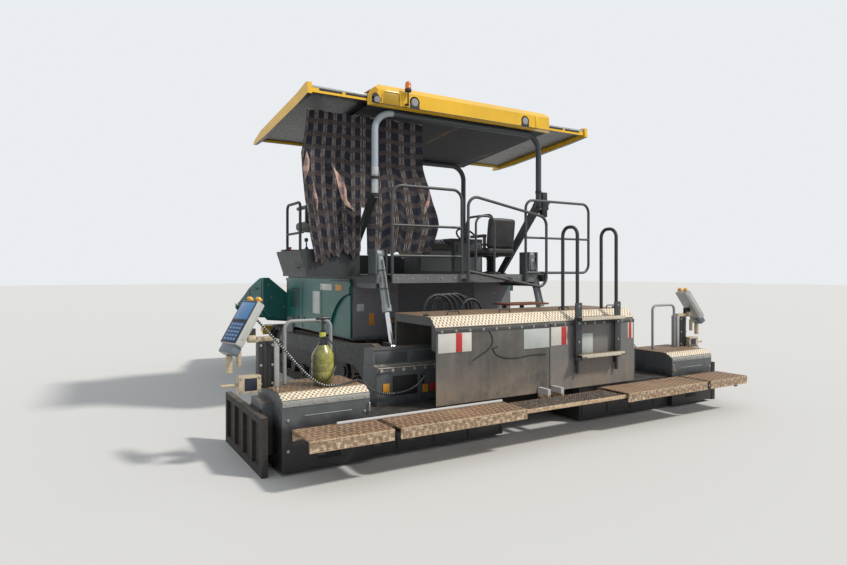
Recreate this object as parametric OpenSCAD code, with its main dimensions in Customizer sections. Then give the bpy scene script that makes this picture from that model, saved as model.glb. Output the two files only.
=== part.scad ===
// Tracked asphalt paver with a hydraulically extending screed.
// Lengths in mm. X runs forward to the hopper, Y to the left, Z up from the ground.
// Stations along the machine (names ending in _x) are measured from the rear edge of the walkways,
// and place() moves them to the middle of the length.

/* [Overall] */
// half of the width over the end gates
half_w = 2960; // [2850:10:3200]
// rear edge of the walkways' lips, behind their datum
lip_x = 50; // [30:5:70]

/* [Tracks] */
// station of the drive sprocket's axis
sprocket_x = 2870; // [2800:10:2950]
// distance from sprocket to idler
track_wheelbase = 2850; // [2600:50:3000]
// outer radius of the track at its ends
track_r = 380; // [360:5:390]
// middle of a track from the centre line
track_y = 1122; // [1100:1:1130]
// width of the track shoes
shoe_w = 305; // [280:5:310]
// thickness of a track shoe
shoe_t = 45; // [35:5:50]
// number of shoes on a track
shoe_n = 44; // [40:1:46]

/* [Tractor] */
// outer face of the side plates from the centre line
frame_y = 640; // [620:5:660]
// half width of the tractor body
body_y = 1300; // [1290:5:1310]
// station of the tractor's rear wall
body_rear_x = 2570; // [2540:10:2600]
// station of the wall behind the hopper
hopper_rear_x = 5060; // [5000:10:5080]
// height of the platform deck
deck_z = 1620; // [1580:5:1660]
// station of the platform's rear edge
deck_rear_x = 1850; // [1830:10:1900]
// station of the platform's front edge
deck_front_x = 4250; // [4200:10:4300]
// underside of the body's sides above the tracks
fender_z = 800; // [790:5:830]
// height of the closed engine cover above the deck
cover_h = 230; // [180:10:280]

/* [Hopper] */
// station of the hopper's front edge
hopper_front_x = 7060; // [6900:10:7090]
// outer face of the hopper wings from the centre line
wing_y = 1635; // [1600:5:1660]
// height of the wings at the rear
wing_rear_z = 1560; // [1500:10:1600]
// height of the wings at the front
wing_front_z = 985; // [960:5:1100]
// hinge line of the wings from the centre line
hinge_y = 610; // [600:5:620]
// height of the wings' hinge line
hinge_z = 800; // [795:5:820]
// plate thickness of the wings
wing_t = 16; // [12:1:24]

/* [Push rollers] */
// radius of the push rollers
roller_r = 90; // [80:5:95]
// height of the push rollers' axis
roller_z = 560; // [520:5:580]
// length of a push roller
roller_l = 860; // [700:10:900]

/* [Fastening] */
// radius of the tie-down eyes
tie_r = 30; // [20:1:40]
// radius of the bolt holes in the ends of the screed
end_bolt_r = 11; // [8:0.5:14]
// spacing of those bolts along the machine
end_bolt_x = 560; // [500:10:600]
// spacing of those bolts in height
end_bolt_z = 400; // [300:10:440]

/* [Conveyors and augers] */
// top of the conveyor floor
floor_z = 560; // [540:5:580]
// number of slats on the top run of a conveyor
slat_n = 22; // [14:1:28]
// radius of the augers
auger_r = 190; // [170:5:200]
// pitch of the auger flights
auger_pitch = 300; // [250:10:350]
// station of the augers' axis
auger_x = 2150; // [2140:5:2160]
// height of the augers' axis
auger_z = 420; // [400:5:450]

/* [Screed] */
// height of the screed's sole above the ground
sole_z = 30; // [20:5:60]
// half width of the main screed
main_half = 1500; // [1450:10:1550]
// station of the main screed's rear face
main_rear_x = 1150; // [1130:10:1180]
// station of the main screed's front face
main_front_x = 1900; // [1850:10:1920]
// top of the screed bodies
main_top_z = 400; // [380:5:420]
// height of the tow points
tow_z = 620; // [600:5:640]
// station of the tow points
tow_x = 4850; // [4800:10:4900]
// half width of the covers on the main screed
hood_half = 1350; // [1300:10:1400]
// station of the covers' rear face
hood_rear_x = 450; // [440:5:480]
// height of the covers' treads
hood_top_z = 1220; // [1180:5:1240]
// height of the walkways
walk_z = 400; // [395:5:420]
// inner end of the extensions' walkways from the centre line
walk_inner = 680; // [640:10:720]
// inner end of the end boxes from the centre line
box_in = 2030; // [2000:10:2060]
// height of the end boxes' treads
box_top_z = 650; // [620:5:680]

/* [Lift cylinders] */
// station of the upper pins
lift_top_x = 2030; // [2020:5:2040]
// height of the upper pins
lift_top_z = 1860; // [1840:5:1880]
// station of the lower pins
lift_low_x = 1700; // [1690:5:1710]
// height of the lower pins
lift_low_z = 800; // [790:5:810]
// distance of the cylinders from the centre line
lift_y = 1150; // [1140:5:1160]
// radius of a barrel
barrel_r = 48; // [44:1:52]

/* [Canopy] */
// height of the roof at its rear edge
roof_z = 3790; // [3700:10:3850]
// how far the roof falls to the front
roof_fall = 200; // [150:10:240]
// half width of the middle roof
roof_half = 1370; // [1340:10:1400]
// outer edge of the roof wings from the centre line
roof_wing_y = 2080; // [2030:10:2150]
// station of the roof's rear edge
roof_rear_x = 1800; // [1780:10:1820]
// station of the roof's front edge
roof_front_x = 4000; // [3950:10:4050]
// the posts' distance from the centre line
post_y = 1240; // [1230:5:1250]
// radius of the posts' tubes
post_r = 38; // [34:1:42]
// radius of the guard rails' tubes
rail_r = 18; // [16:1:22]

/* [Hidden] */
$fn = 48;

idler_x = sprocket_x + track_wheelbase;
chain_r = track_r - shoe_t;
pin_r = 35;
eye_r = 45;
lift_run = [lift_low_x - lift_top_x, lift_low_z - lift_top_z];
lift_l = norm(lift_run);
lift_a = atan2(lift_run.x, -lift_run.y);
beam_x = hopper_front_x - 60;
front_x = beam_x + 145 + roller_r;
mid_x = (front_x - lip_x) / 2;
seat_gap = 0.3;
box_out = half_w - 150;
panel_at = [900, box_out + 200, box_top_z + 565];
sprayer_at = [715, box_in + 330];
lamps_y = [-870, 800];
tie_x = 6600;
tie_z = 345;
end_bolt_mid = [795, 330];
slope = 5;
right_seat = [2450, -800, deck_z];
console_z = deck_z + 280;
left_seat = [2700, 1620, console_z];
curtain_x = 2250;
guide_x = 1170;
guide_z = main_top_z + 80;
guide_r = 35;
cover_x = deck_front_x + 30;
cover_z = deck_z + cover_h;
roof_l = roof_front_x - roof_rear_x;
function under_lining(x) = roof_z - (x - roof_rear_x + 232 * sin(slope)) * tan(slope) - 232 * cos(slope);

cream = [0.80, 0.70, 0.55];
yellow = [0.95, 0.72, 0.08];
teal = [0.05, 0.36, 0.33];
slate = [0.30, 0.33, 0.35];
dark = [0.12, 0.12, 0.13];
pale = [0.62, 0.64, 0.66];

module place() translate([-mid_x, 0, 0]) children();
module along_y(y1, y2) translate([0, y2, 0]) rotate([90, 0, 0]) linear_extrude(y2 - y1) children();
module along_x(x1, x2) translate([x1, 0, 0]) rotate([90, 0, 90]) linear_extrude(x2 - x1) children();
module on_left(left) mirror([0, left ? 0 : 1, 0]) children();
module box(x1, x2, y1, y2, z1, z2) translate([x1, y1, z1]) cube([x2 - x1, y2 - y1, z2 - z1]);
module pin_y(x, z, y1, y2, r) translate([x, y2, z]) rotate([90, 0, 0]) cylinder(h = y2 - y1, r = r);
module rod(a, b, r) {
    d = b - a;
    translate(a) rotate([0, acos(d.z / norm(d)), atan2(d.y, d.x)]) cylinder(h = norm(d), r = r);
}

// A tube through flat points, with every corner bent at radius rb. With a sleeve the bends are elbows
// a little thicker than the tube, which reaches into them.
function heading(a, b) = atan2(b.y - a.y, b.x - a.x);
function wrap(a) = a > 180 ? a - 360 : (a < -180 ? a + 360 : a);
function turn_at(p, i) =
    i <= 0 || i >= len(p) - 1 ? 0 : wrap(heading(p[i], p[i + 1]) - heading(p[i - 1], p[i]));
function bend_at(p, i, rb, into) =
    turn_at(p, i) == 0 ? 0 : rb * tan(abs(turn_at(p, i)) / 2) - into;
module pipe(p, r, rb, sleeve = 0) {
    into = sleeve > 0 ? 6 : 0;
    for (i = [0 : len(p) - 2]) {
        t1 = bend_at(p, i, rb, into);
        t2 = bend_at(p, i + 1, rb, into);
        h = heading(p[i], p[i + 1]);
        translate([p[i].x, p[i].y, 0]) rotate([0, 0, h]) translate([t1, 0, 0]) rotate([0, 90, 0])
            cylinder(h = norm(p[i + 1] - p[i]) - t1 - t2, r = r);
    }
    if (len(p) > 2) for (i = [1 : len(p) - 2]) {
        w = turn_at(p, i);
        t = rb * tan(abs(w) / 2);
        h = heading(p[i - 1], p[i]);
        s = [p[i].x - t * cos(h), p[i].y - t * sin(h)];
        c = [s.x - sign(w) * rb * sin(h), s.y + sign(w) * rb * cos(h)];
        a0 = heading(c, s);
        translate([c.x, c.y, 0]) rotate([0, 0, w > 0 ? a0 : a0 + w])
            rotate_extrude(angle = abs(w)) translate([rb, 0]) circle(r + sleeve);
    }
}
// The same tube across the machine at station x, and along the machine at distance y.
module pipe_yz(x, p, r, rb, sleeve = 0) translate([x, 0, 0]) rotate([90, 0, 90]) pipe(p, r, rb, sleeve);
module pipe_xz(y, p, r, rb) translate([0, y, 0]) rotate([90, 0, 0]) pipe(p, r, rb);

module loop_2d(r) {
    translate([sprocket_x, track_r]) circle(r);
    translate([idler_x, track_r]) circle(r);
    translate([sprocket_x, track_r - r]) square([track_wheelbase, 2 * r]);
}

// Tracks: one loop of chain with its shoes.
module track() {
    around = 2 * track_wheelbase + 2 * PI * chain_r;
    pitch = around / shoe_n;
    shoe_l = pitch - 14;
    end_r = sqrt(track_r * track_r - shoe_l * shoe_l / 4);
    half = PI * chain_r;
    along_y(-shoe_w / 2 + 40, shoe_w / 2 - 40) difference() {
        loop_2d(chain_r);
        loop_2d(chain_r - 42);
    }
    along_y(-shoe_w / 2, shoe_w / 2) for (i = [0 : shoe_n - 1]) {
        s = (i + 0.5) * pitch;
        if (s < track_wheelbase)
            translate([sprocket_x + s - shoe_l / 2, 0]) square([shoe_l, shoe_t + 2]);
        else if (s < track_wheelbase + half)
            translate([idler_x, track_r]) rotate((s - track_wheelbase) / chain_r * 180 / PI)
                translate([-shoe_l / 2, -end_r]) square([shoe_l, shoe_t + 2]);
        else if (s < 2 * track_wheelbase + half)
            translate([idler_x - (s - track_wheelbase - half) - shoe_l / 2, 2 * track_r - shoe_t - 2])
                square([shoe_l, shoe_t + 2]);
        else
            translate([sprocket_x, track_r])
                rotate(180 + (s - 2 * track_wheelbase - half) / chain_r * 180 / PI)
                translate([-shoe_l / 2, -end_r]) square([shoe_l, shoe_t + 2]);
    }
}
module track_left() color(dark) place() translate([0, track_y, 0]) track();
module track_right() color(dark) place() translate([0, -track_y, 0]) track();

// Track frame: beam, sprocket, idler and rollers, which stay inside the loop.
module track_frame(left) {
    wheel_r = chain_r - 42.4;
    small_r = 85;
    low_z = track_r - wheel_r + small_r;
    on_left(left) {
        box(sprocket_x + 60, idler_x - 60, track_y - 60, track_y + 60, track_r - 150, track_r + 132);
        for (x = [sprocket_x, idler_x]) {
            pin_y(x, track_r, track_y - 50, track_y + 50, wheel_r);
            pin_y(x, track_r, track_y - 105, track_y + 105, 110);
            pin_y(x, track_r, track_y - 130, track_y + 130, 60);
        }
        for (i = [0 : 5])
            pin_y(sprocket_x + track_wheelbase * (i + 1) / 7, low_z, track_y - 100, track_y + 100, small_r);
        for (i = [1 : 2])
            pin_y(sprocket_x + track_wheelbase * i / 3, 2 * track_r - low_z, track_y - 80, track_y + 80, small_r);
        for (x = [sprocket_x + 500, idler_x - 600])
            box(x, x + 220, frame_y + seat_gap, track_y - 40, track_r - 90, track_r + 60);
    }
}
module track_frame_left() color(slate) place() track_frame(true);
module track_frame_right() color(slate) place() track_frame(false);

// Chassis: side plates, bulkheads, tow brackets, auger hanger and the wall behind the hopper.
module chassis_frame() color(slate) place() {
    for (left = [true, false]) on_left(left) {
        box(body_rear_x, hopper_rear_x + 40, frame_y - 20, frame_y, 290, deck_z - 60);
        difference() {
            box(hopper_rear_x + 30, beam_x - 60, frame_y - 20, frame_y, 290, hinge_z - 45);
            pin_y(tie_x, tie_z, frame_y - 30, frame_y + 10, tie_r);
        }
        box(body_rear_x, hopper_rear_x, frame_y - 10, body_y - 60, fender_z, fender_z + 20);
        box(body_rear_x, body_rear_x + 20, frame_y - 10, body_y - 60, fender_z, deck_z - 60);
        box(body_rear_x, hopper_rear_x, body_y - 70, body_y - 60, fender_z, deck_z - 60);
        // tow bracket outside the track, with its pin
        box(tow_x - 190, tow_x + 150, body_y - 65, body_y - 14, fender_z, fender_z + 160);
        box(tow_x - 150, tow_x + 110, body_y - 20, body_y, tow_z - 110, fender_z + 160);
        pin_y(tow_x, tow_z, body_y - 10, body_y + 124, pin_r);
        pin_y(tow_x, tow_z, body_y + 116, body_y + 130, pin_r + 22);
        // pin and front lug of the wing's hinge
        translate([hopper_rear_x + 30, hinge_y, hinge_z - 10]) rotate([0, 90, 0])
            cylinder(h = hopper_front_x - hopper_rear_x - 150, r = 11);
        box(hopper_front_x - 132, hopper_front_x - 112, hinge_y - 20, frame_y, hinge_z - 50, hinge_z + 12);
    }
    box(sprocket_x + 420, idler_x - 200, -frame_y + 10, frame_y - 10, 290, 310);
    box(body_rear_x, hopper_rear_x + 40, -frame_y + 10, frame_y - 10, 860, 880);
    box(body_rear_x, body_rear_x + 20, -frame_y + 10, frame_y - 10, 870, deck_z - 60);
    // wall behind the hopper, open where the conveyors pass
    along_x(hopper_rear_x + 20, hopper_rear_x + 40) difference() {
        translate([-1240, 2 * track_r + 15]) square([2480, wing_rear_z - 2 * track_r - 15]);
        translate([-frame_y + 20, 600]) square([2 * frame_y - 40, 270]);
    }
    // middle wall between the two conveyors
    box(body_rear_x, hopper_front_x - 215, -30, 30, floor_z - 90, floor_z + 60);
    // cross beam that carries the push beam
    box(beam_x - 180, beam_x - 60, -frame_y + 10, frame_y - 10, 370, 455);
    box(beam_x - 70, beam_x - 20, -50, 50, 380, 440);
    translate([beam_x - 20, 0, 380]) cylinder(h = roller_z - 48.6 - 380, r = 36);
    translate([beam_x - 20, 0, 400]) cylinder(h = roller_z - 400, r = 30);
}

// Ears of the lift cylinders' upper pins.
module lift_brackets() color(slate) place() for (left = [true, false]) on_left(left) {
    for (y = [lift_y - 78, lift_y + 58]) difference() {
        box(lift_top_x - 70, lift_top_x + 130, y, y + 20, deck_z - 160, lift_top_z + 60);
        pin_y(lift_top_x, lift_top_z, y - 1, y + 21, 26);
    }
    pin_y(lift_top_x, lift_top_z, lift_y - 90, lift_y + 90, 26);
    box(lift_top_x + 60, body_rear_x - seat_gap, lift_y - 78, lift_y + 78, deck_z - 160, deck_z - 62);
}

// Auger hanger with its outer bearings and gearbox.
module auger_hanger() color(slate) place() {
    box(auger_x - 45, auger_x + 45, -1282, 1282, auger_z + 215, auger_z + 300);
    for (y = [-1282, 1262]) box(auger_x - 45, auger_x + 45, y, y + 20, auger_z - 60, auger_z + 300);
    for (y = [-frame_y, frame_y - 70])
        box(auger_x, body_rear_x - seat_gap, y, y + 70, auger_z + 225, auger_z + 290);
    box(auger_x - 70, auger_x + 70, -62, 62, auger_z - 110, auger_z + 220);
}

// Shelf of the hoses and the worn board beside it.
module rear_shelf() color(slate) place() {
    box(1560, body_rear_x - seat_gap, -700, 800, 1020, 1060);
    box(1450, 1780, -960, -330, 1240, 1262);
    for (y = [-680, -400]) box(1600, 1640, y, y + 40, 1050, 1245);
}

module engine_block() color(dark) place() box(3500, 4900, -380, 380, 880 + seat_gap, 1500);

// Side panels of the tractor, with the round cut at their rear end.
module side_panels() color(teal) place() for (left = [true, false]) on_left(left) {
    along_y(body_y - 60 + seat_gap, body_y - 20) difference() {
        translate([body_rear_x, fender_z + 15]) square([hopper_rear_x - body_rear_x - 10, deck_z - 80 - fender_z]);
        translate([body_rear_x - 60, fender_z - 180]) circle(760);
        translate([tow_x - 196, fender_z]) square([352, 166]);
    }
    along_y(body_y - 22, body_y - 4) intersection() {
        difference() {
            translate([body_rear_x - 60, fender_z - 180]) circle(850);
            translate([body_rear_x - 60, fender_z - 180]) circle(760);
        }
        translate([body_rear_x, fender_z + 15]) square([hopper_rear_x - body_rear_x - 10, deck_z - 80 - fender_z]);
    }
    box(body_rear_x, hopper_rear_x - 10, body_y - 60 + seat_gap, body_y - 8, deck_z - 100, deck_z - 62);
    // grey plates behind the round cut
    box(body_rear_x + 25, body_rear_x + 600, body_y - 60 + seat_gap, body_y - 34, fender_z + 20, fender_z + 560);
}

// Engine cover: a lid over the space before the hopper, hinged at its upper rear edge.
module engine_cover() color(teal) place() {
    low = deck_z - 28 + seat_gap;
    difference() {
        along_y(-1100, 1100) polygon([[cover_x, low], [hopper_rear_x + 10, low], [hopper_rear_x + 10, cover_z - 60],
            [hopper_rear_x - 50, cover_z], [cover_x, cover_z]]);
        along_y(-1080, 1080) polygon([[cover_x + 20, low - 1], [hopper_rear_x - 10, low - 1],
            [hopper_rear_x - 10, cover_z - 70], [hopper_rear_x - 58, cover_z - 20], [cover_x + 20, cover_z - 20]]);
        for (side = [-1, 1], i = [0 : 6])
            box(cover_x + 110 + i * 70, cover_x + 145 + i * 70, side * 700 - 200, side * 700 + 200,
                cover_z - 40, cover_z + 10);
    }
    for (y = [-880, 720]) difference() {
        union() {
            pin_y(cover_x - 16, cover_z - 20, y, y + 160, 15);
            box(cover_x - 16, cover_x + 2, y, y + 160, cover_z - 28, cover_z - 12);
        }
        pin_y(cover_x - 16, cover_z - 20, y - 1, y + 161, 9.5);
    }
}

// Conveyors: floors, shafts, chain loops and slats.
module conveyors() color(dark) place() {
    x1 = body_rear_x + 120;
    x2 = beam_x - 200;
    for (s = [-1, 1]) {
        y1 = s > 0 ? 40 : -frame_y + 30;
        y2 = s > 0 ? frame_y - 30 : -40;
        box(x1, x2, y1, y2, floor_z - 20, floor_z);
        for (x = [x1 - 10, x2 + 10]) pin_y(x, floor_z - 30, y1 - 9.7, y2 + 9.7, 40);
        for (y = [y1 + 60, y2 - 90]) along_y(y, y + 30) difference() {
            union() {
                translate([x1, floor_z - 85]) square([x2 - x1, 110]);
                for (x = [x1 - 10, x2 + 10]) translate([x, floor_z - 30]) circle(62);
            }
            translate([x1, floor_z - 65]) square([x2 - x1, 45]);
        }
        for (i = [0 : slat_n - 1]) {
            x = x1 + 40 + i * (x2 - x1 - 80) / (slat_n - 1);
            box(x - 15, x + 15, y1 + 4, y2 - 4, floor_z, floor_z + 34);
            box(x - 15, x + 15, y1 + 4, y2 - 4, floor_z - 108, floor_z - 78);
        }
    }
}

// Hopper wing: floor and wall in one bent plate with a rear wall.
module hopper_wing(left) on_left(left) difference() {
    rear = hopper_rear_x + 60;
    knee_y = wing_y - 120;
    knee_z = hinge_z + 150;
    union() {
        intersection() {
            along_x(rear, hopper_front_x) difference() {
                polygon([[hinge_y, hinge_z - wing_t], [knee_y, knee_z - wing_t], [wing_y, knee_z + 130],
                    [wing_y, wing_rear_z], [hinge_y, wing_rear_z]]);
                polygon([[hinge_y - 1, hinge_z + 3], [knee_y - 8, knee_z + 3], [wing_y - wing_t, knee_z + 134],
                    [wing_y - wing_t, wing_rear_z + 1], [hinge_y - 1, wing_rear_z + 1]]);
            }
            along_y(0, wing_y + 1) polygon([
                [rear - 1, hinge_z - 60], [hopper_front_x + 1, hinge_z - 60], [hopper_front_x + 1, wing_front_z],
                [hopper_front_x - 330, wing_front_z + 105], [hopper_front_x - 700, wing_front_z + 235],
                [hopper_front_x - 1100, wing_front_z + 395], [hopper_front_x - 1500, wing_front_z + 505],
                [hopper_front_x - 1750, wing_rear_z - 8], [rear - 1, wing_rear_z]]);
        }
        along_x(rear, rear + 14) polygon([[hinge_y + 30, hinge_z + 6], [knee_y, knee_z], [wing_y - 2, knee_z + 132],
            [wing_y - 2, wing_rear_z], [wing_y - 90, wing_rear_z]]);
        // ribs under the floor and along the wall
        for (x = [rear + 120, rear + 900, hopper_front_x - 140])
            along_x(x, x + 20) polygon([[hinge_y + 120, hinge_z + 8], [knee_y, knee_z - 6],
                [wing_y - 4, knee_z + 132], [wing_y - 4, knee_z + 40], [knee_y + 20, knee_z - 70]]);
        translate([rear, hinge_y, hinge_z - 10]) rotate([0, 90, 0]) cylinder(h = hopper_front_x - rear - 140, r = 22);
    }
    translate([rear - 1, hinge_y, hinge_z - 10]) rotate([0, 90, 0]) cylinder(h = hopper_front_x - rear + 2, r = 12);
    translate([hopper_front_x - 140, hinge_y, hinge_z - 10]) rotate([0, 90, 0]) cylinder(h = 36, r = 58);
}
module hopper_wing_left() color(teal) place() hopper_wing(true);
module hopper_wing_right() color(teal) place() hopper_wing(false);

module hopper_apron() color(dark) place() {
    x = hopper_front_x - 190;
    along_y(-hinge_y + 50, hinge_y - 50) polygon([
        [x + 4, floor_z + 58], [x + 140, floor_z + 128], [x + 170, floor_z + 222],
        [x + 156, floor_z + 222], [x + 126, floor_z + 138], [x - 2, floor_z + 72]]);
    pin_y(x, floor_z + 60, -frame_y + 20.4, frame_y - 20.4, 16);
}

module push_beam() color(yellow) place() difference() {
    union() {
        box(beam_x + 22, beam_x + 49, -1100, 1100, roller_z - 90, roller_z + 70);
        for (y = [-1100, -130, 110, 1080]) translate([0, y, 0]) along_y(0, 20) polygon([
            [beam_x + 40, roller_z - 80], [beam_x + 125, roller_z - 45], [beam_x + 175, roller_z - 30],
            [beam_x + 175, roller_z + 30], [beam_x + 125, roller_z + 45], [beam_x + 40, roller_z + 60]]);
        translate([beam_x - 20, 0, roller_z - 48]) cylinder(h = 34, r = 80);
        box(beam_x - 20, beam_x + 40, -80, 80, roller_z - 48, roller_z - 14);
        for (y = [-1090, 120]) pin_y(beam_x + 145, roller_z, y, y + roller_l + 110, 20);
    }
    translate([beam_x - 20, 0, roller_z - 100]) cylinder(h = 110, r = 30.5);
}
module push_roller() difference() {
    pin_y(beam_x + 145, roller_z, 605 - roller_l / 2, 605 + roller_l / 2, roller_r);
    pin_y(beam_x + 145, roller_z, 604 - roller_l / 2, 606 + roller_l / 2, 20.5);
}
module push_roller_left() color(pale) place() push_roller();
module push_roller_right() color(pale) place() mirror([0, 1, 0]) push_roller();

// Augers: shaft and flights, handed left and right.
module auger(s) {
    y1 = 62.4;
    y2 = 1261.6;
    run = y2 - y1 - 44;
    sweep = s * 360 * 14 / auger_pitch;
    pin_y(auger_x, auger_z, s > 0 ? y1 : -y2, s > 0 ? y2 : -y1, 42);
    translate([auger_x, s > 0 ? y1 + 22 : -y1 - 22 - run, auger_z]) rotate([-90, 0, 0])
        linear_extrude(run, twist = -s * 360 * run / auger_pitch, slices = 84, segments = 5, $fn = 6)
        polygon([[36, 0], [auger_r, 0], [auger_r * cos(sweep / 2), auger_r * sin(sweep / 2)],
            [auger_r * cos(sweep), auger_r * sin(sweep)], [36 * cos(sweep), 36 * sin(sweep)]]);
}
module auger_left() color(dark) place() auger(1);
module auger_right() color(dark) place() auger(-1);

// Platform with its kick plates and the steps of the rear edge.
module platform() color(slate) place() {
    difference() {
        union() {
            box(deck_rear_x, deck_front_x, -body_y + 40, body_y - 40, deck_z - 30, deck_z);
            box(deck_rear_x, deck_rear_x + 40, -body_y + 40, body_y - 40, deck_z - 100, deck_z - 25);
        }
        for (s = [-1, 1])
            box(deck_rear_x - 1, lift_top_x + 136, s * lift_y - 84, s * lift_y + 84, deck_z - 110, deck_z + 1);
    }
    for (y = [-700, 0, 660]) box(deck_rear_x + 30, body_rear_x - seat_gap, y, y + 40, deck_z - 100, deck_z - 25);
    for (y = [-body_y + 40, body_y - 60])
        box(deck_rear_x + 30, body_rear_x - seat_gap, y, y + 20, deck_z - 100, deck_z - 25);
    box(body_rear_x + 2, hopper_rear_x, -body_y + 50, body_y - 50, deck_z - 60 + seat_gap, deck_z - 28);
    box(deck_front_x - 20, deck_front_x - 8, -body_y + 40, body_y - 40, deck_z - 10, cover_z + 60);
    // console of the left seat, slid out over the side
    along_x(2300, 3150) polygon([[body_y - 60, deck_z - 22], [body_y - 60, deck_z - 8], [body_y - 28, deck_z - 8],
        [body_y - 28, console_z], [2030, console_z], [1945, deck_z + 20], [1945, deck_z - 22]]);
    // lugs and pins of the engine cover
    for (y = [-880, 720]) {
        pin_y(cover_x - 16, cover_z - 20, y - 30, y + 190, 9);
        for (d = [-30, 170]) {
            box(deck_front_x - 12, cover_x - 16, y + d, y + d + 20, cover_z - 28, cover_z - 12);
            pin_y(cover_x - 16, cover_z - 20, y + d, y + d + 20, 11);
        }
    }
}

// Console in front of the right seat, with its desk, cabinet and wheel.
module console() color(dark) place() translate([0, 0, seat_gap]) {
    along_y(-640, -30) polygon([[3150, deck_z], [3560, deck_z], [3560, deck_z + 400],
        [3420, deck_z + 520], [3200, deck_z + 440], [3150, deck_z + 380]]);
    box(3180, 3540, -1190, -620, deck_z, deck_z + 530);
    rod([3250, -860, deck_z + 450], [3130, -860, deck_z + 570], 20);
    translate([3130, -860, deck_z + 570]) rotate([0, -45, 0]) rotate_extrude() translate([160, 0]) circle(14);
    translate([3130, -860, deck_z + 570]) rotate([0, -45, 0]) box(-160, 160, -18, 18, -8, 8);
}

// Guard hoops on the rear part of the platform.
module guard_hoops() color(pale) place() {
    z0 = deck_z + seat_gap;
    x = deck_rear_x + 60;
    pipe_yz(x, [[1040, z0], [1040, deck_z + 1045], [60, deck_z + 1045], [60, z0]], rail_r, 130);
    for (z = [220, 580]) pipe_yz(x, [[1040, deck_z + z], [60, deck_z + z]], rail_r - 3, 60);
    // small hoop beside the right seat
    pipe_yz(2000, [[-220, z0], [-220, deck_z + 755], [-520, deck_z + 755], [-520, z0]], rail_r - 3, 120);
}

// Loops behind the deck: a leaning one in the middle and a wide one at the right corner.
module rear_loops() color(pale) place() {
    leaning_x = deck_rear_x - 80;
    pipe_yz(leaning_x, [[60, deck_z + 90], [60, deck_z + 980], [-1210, deck_z + 754], [-1210, deck_z - 186],
        [60, deck_z + 40]], rail_r, 130, 1);
    translate([leaning_x, 60, deck_z - 90]) cylinder(h = 190, r = rail_r + 4);
    box(leaning_x - 12, deck_rear_x - seat_gap, 30, 90, deck_z - 80, deck_z - 50);
    box(leaning_x - 18, deck_rear_x - seat_gap, -620, -580, deck_z - 95, deck_z - 40);
    pipe_yz(deck_rear_x - 24, [[-900, deck_z + 90], [-900, deck_z + 980], [-2050, deck_z + 980],
        [-2050, deck_z + 20], [-900, deck_z + 20]], rail_r, 120);
    translate([deck_rear_x - 24, -900, deck_z - 90]) cylinder(h = 190, r = rail_r + 4);
    pipe_yz(deck_rear_x - 24, [[-900, deck_z + 485], [-2050, deck_z + 485]], rail_r - 3, 60);
    box(deck_rear_x - 32, deck_rear_x - seat_gap, -930, -870, deck_z - 80, deck_z - 40);
    box(deck_rear_x - 36, deck_rear_x - seat_gap, -body_y + 42, -body_y + 64, deck_z - 90, deck_z + 20);
}

// Rails along both sides of the platform and beside the left seat.
module side_rails() color(pale) place() {
    // columns: side, first station, last station, top above the deck
    for (h = [[1, 3240, 3690, 880], [-1, 2960, 3660, 900]]) {
        y = h[0] * (body_y - 65);
        pipe_xz(y, [[h[1], deck_z + seat_gap], [h[1], deck_z + h[3]], [h[2], deck_z + h[3]],
            [h[2], deck_z + seat_gap]], rail_r, 130);
        pipe_xz(y, [[h[1], deck_z + h[3] * 0.5], [h[2], deck_z + h[3] * 0.5]], rail_r - 3, 60);
    }
    pipe_xz(2000, [[2340, console_z + seat_gap], [2340, console_z + 550], [2800, console_z + 550],
        [2800, console_z + seat_gap]], rail_r - 2, 60);
    pipe_xz(2000, [[2340, console_z + 200], [2800, console_z + 200]], rail_r - 4, 60);
}

// Canopy posts: two hoops, with slanting arms down from the rear one.
module canopy_posts() color(slate) place() {
    w = post_y;
    // columns: station, foot
    for (h = [[1960, 2540], [3760, deck_z + seat_gap]]) {
        top = floor(under_lining(h[0]) - 0.4 - post_r);
        pipe_yz(h[0], [[w, h[1]], [w, top], [-w, top], [-w, h[1]]], post_r, 220);
    }
    for (s = [-1, 1]) {
        along_y(s * w - 22, s * w + 22) polygon([[1915, 2500], [2005, 2640], [2075, 2540],
            [2870, deck_z + 5], [2740, deck_z + 5], [2010, 2430]]);
        translate([0, s * w, 0]) box(2700, 2900, -30, 18, deck_z + seat_gap, deck_z + 18);
    }
}

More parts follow.
